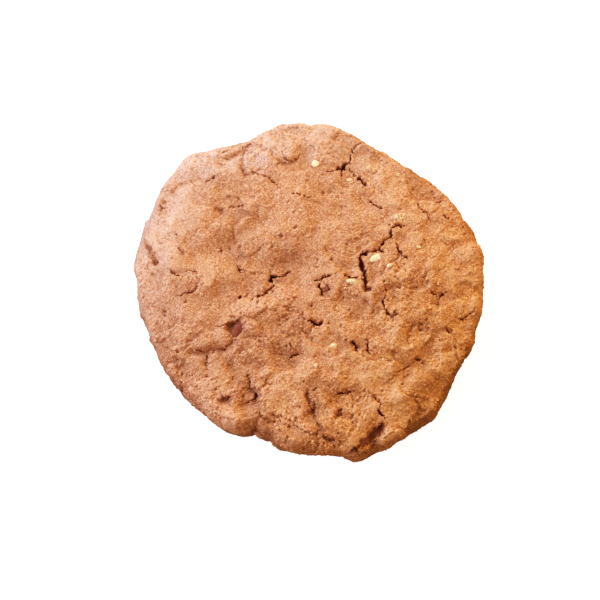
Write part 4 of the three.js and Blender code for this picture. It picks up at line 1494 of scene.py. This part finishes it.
class COOKIE_OT_crust(Operator):
    """Build the baked crust in place of the plain solid"""

    bl_idname = "cookie.crust"
    bl_label = "Crust"

    def execute(self, context):
        sizes = sizes_in_mm(context)
        rings = context.scene.cookie_sizes.rings
        turn, ring, triangles = ring_facets(rings)
        way = ring / rings
        smooth = body_surface(sizes, turn, way)
        slid_x, slid_y = draw_to_cracks(smooth[:, 0], smooth[:, 1])
        slid_turn, slid_way = way_above(sizes, slid_x, slid_y)
        upper = way < WIDEST_SHARE - SLIDE_MARGIN
        turn = np.where(upper, slid_turn, turn)
        way = np.where(upper, slid_way, way)
        points, masks = crust_surface(sizes, turn, way)
        foot = np.flatnonzero(ring == rings)
        points[foot, 2] = 0
        made = mesh_object("cookie_crust", points, triangles, foot[::-1])
        for name, values in masks.items():
            add_mask(made, name, values)
        finish_piece(made, crust_material(context.scene.cookie_colours))
        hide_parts("cookie")
        return {"FINISHED"}


class COOKIE_OT_chips(Operator):
    """Build the pale chips that show in the crust"""

    bl_idname = "cookie.chips"
    bl_label = "Pale chips"

    def execute(self, context):
        whole = np.ones(len(CHIPS))
        points, triangles, up = set_in_crust(sizes_in_mm(context), CHIPS, whole, CHIP_LUMP)
        made = mesh_object("pale_chips", points, triangles)
        add_mask(made, "edge", 1 - smooth_step(up, *CHIP_EDGE))
        add_mask(made, "hidden", np.repeat([chip[-1] for chip in CHIPS], len(points) // len(CHIPS)))
        finish_piece(made, chip_material(context.scene.cookie_colours))
        return {"FINISHED"}


class COOKIE_OT_chocolate(Operator):
    """Build the chocolate that shows at the bottom of the pits"""

    bl_idname = "cookie.chocolate"
    bl_label = "Chocolate"

    def execute(self, context):
        pits = [pit for pit in PITS if pit[-1] > 0]
        filled = np.array([pit[-1] for pit in pits])
        points, triangles, _ = set_in_crust(sizes_in_mm(context), pits, filled, CHOCOLATE_LUMP)
        made = mesh_object("chocolate_bits", points, triangles)
        finish_piece(made, chocolate_material(context.scene.cookie_colours))
        return {"FINISHED"}


class COOKIE_OT_crumbs(Operator):
    """Scatter loose crumbs over the crust"""

    bl_idname = "cookie.crumbs"
    bl_label = "Crumbs"

    def execute(self, context):
        draw = np.random.default_rng(CRUMB_SEED)
        count = context.scene.cookie_sizes.crumb_count
        place, broken = crust_places(sizes_in_mm(context), count, draw, CRUMB_LIKING)
        scale = CRUMB_SCALE + CRUMB_SCALE_ADDED * broken
        radius = draw.gamma(CRUMB_EVENNESS, scale).clip(*CRUMB_LIMITS)
        material = crumb_material(context.scene.cookie_colours, "loose_crumb")
        scatter("loose_crumbs", crumb_ball(), place, radius, draw, material)
        return {"FINISHED"}


class COOKIE_OT_grains(Operator):
    """Scatter sandy grains over the crust and along the cracks"""

    bl_idname = "cookie.grains"
    bl_label = "Sandy grains"

    def execute(self, context):
        draw = np.random.default_rng(GRAIN_SEED)
        sizes = sizes_in_mm(context)
        count = context.scene.cookie_sizes.grain_count
        (seats, outward, masks), broken = crust_places(sizes, count, draw, GRAIN_LIKING)
        radius = draw.gamma(GRAIN_EVENNESS, GRAIN_SCALE, len(broken))
        crack_seats, crack_outward, crack_masks = crack_places(sizes, draw)
        crack_radius = draw.gamma(GRAIN_EVENNESS, CRACK_GRAIN_SCALE, len(crack_seats))
        place = (np.vstack([seats, crack_seats]), np.vstack([outward, crack_outward]),
                 {name: np.concatenate([masks[name], crack_masks[name]]) for name in masks})
        radius = np.concatenate([radius, crack_radius]).clip(*GRAIN_LIMITS)
        material = crumb_material(context.scene.cookie_colours, "sandy_grain")
        scatter("sandy_grains", sugar_grain(), place, radius, draw, material)
        return {"FINISHED"}


class COOKIE_OT_stage(Operator):
    """Set the pale floor, the soft light and the camera"""

    bl_idname = "cookie.stage"
    bl_label = "Stage"

    def execute(self, context):
        scene = context.scene
        set_film(scene.view_settings)
        build_floor()
        build_lights(scene)
        build_camera(scene)
        return {"FINISHED"}


class COOKIE_PT_panel(Panel):
    """Cookie pieces, sizes and colours"""

    bl_idname = "COOKIE_PT_panel"
    bl_label = "Drop Cookie"
    bl_space_type = "VIEW_3D"
    bl_region_type = "UI"
    bl_category = "Cookie"

    def draw(self, context):
        for operator in OPERATORS:
            self.layout.operator(operator.bl_idname)
        for group in (context.scene.cookie_sizes, context.scene.cookie_colours):
            for name in group.__annotations__:
                self.layout.prop(group, name)


OPERATORS = (COOKIE_OT_crust, COOKIE_OT_chips, COOKIE_OT_chocolate, COOKIE_OT_crumbs, COOKIE_OT_grains,
             COOKIE_OT_stage)
CLASSES = (CookieSizes, CookieColours, *OPERATORS, COOKIE_PT_panel)


def register():
    """Registers the classes and hangs the sizes and colours on the scene."""
    for cls in CLASSES:
        bpy.utils.register_class(cls)
    bpy.types.Scene.cookie_sizes = PointerProperty(type=CookieSizes)
    bpy.types.Scene.cookie_colours = PointerProperty(type=CookieColours)


def unregister():
    """Takes the sizes and colours off the scene and unregisters the classes."""
    del bpy.types.Scene.cookie_colours
    del bpy.types.Scene.cookie_sizes
    for cls in reversed(CLASSES):
        bpy.utils.unregister_class(cls)


def main():
    """Builds the cookie and its stage."""
    register()
    bpy.ops.cookie.crust()
    bpy.ops.cookie.chips()
    bpy.ops.cookie.chocolate()
    bpy.ops.cookie.crumbs()
    bpy.ops.cookie.grains()
    bpy.ops.cookie.stage()


if __name__ == "__main__":
    main()
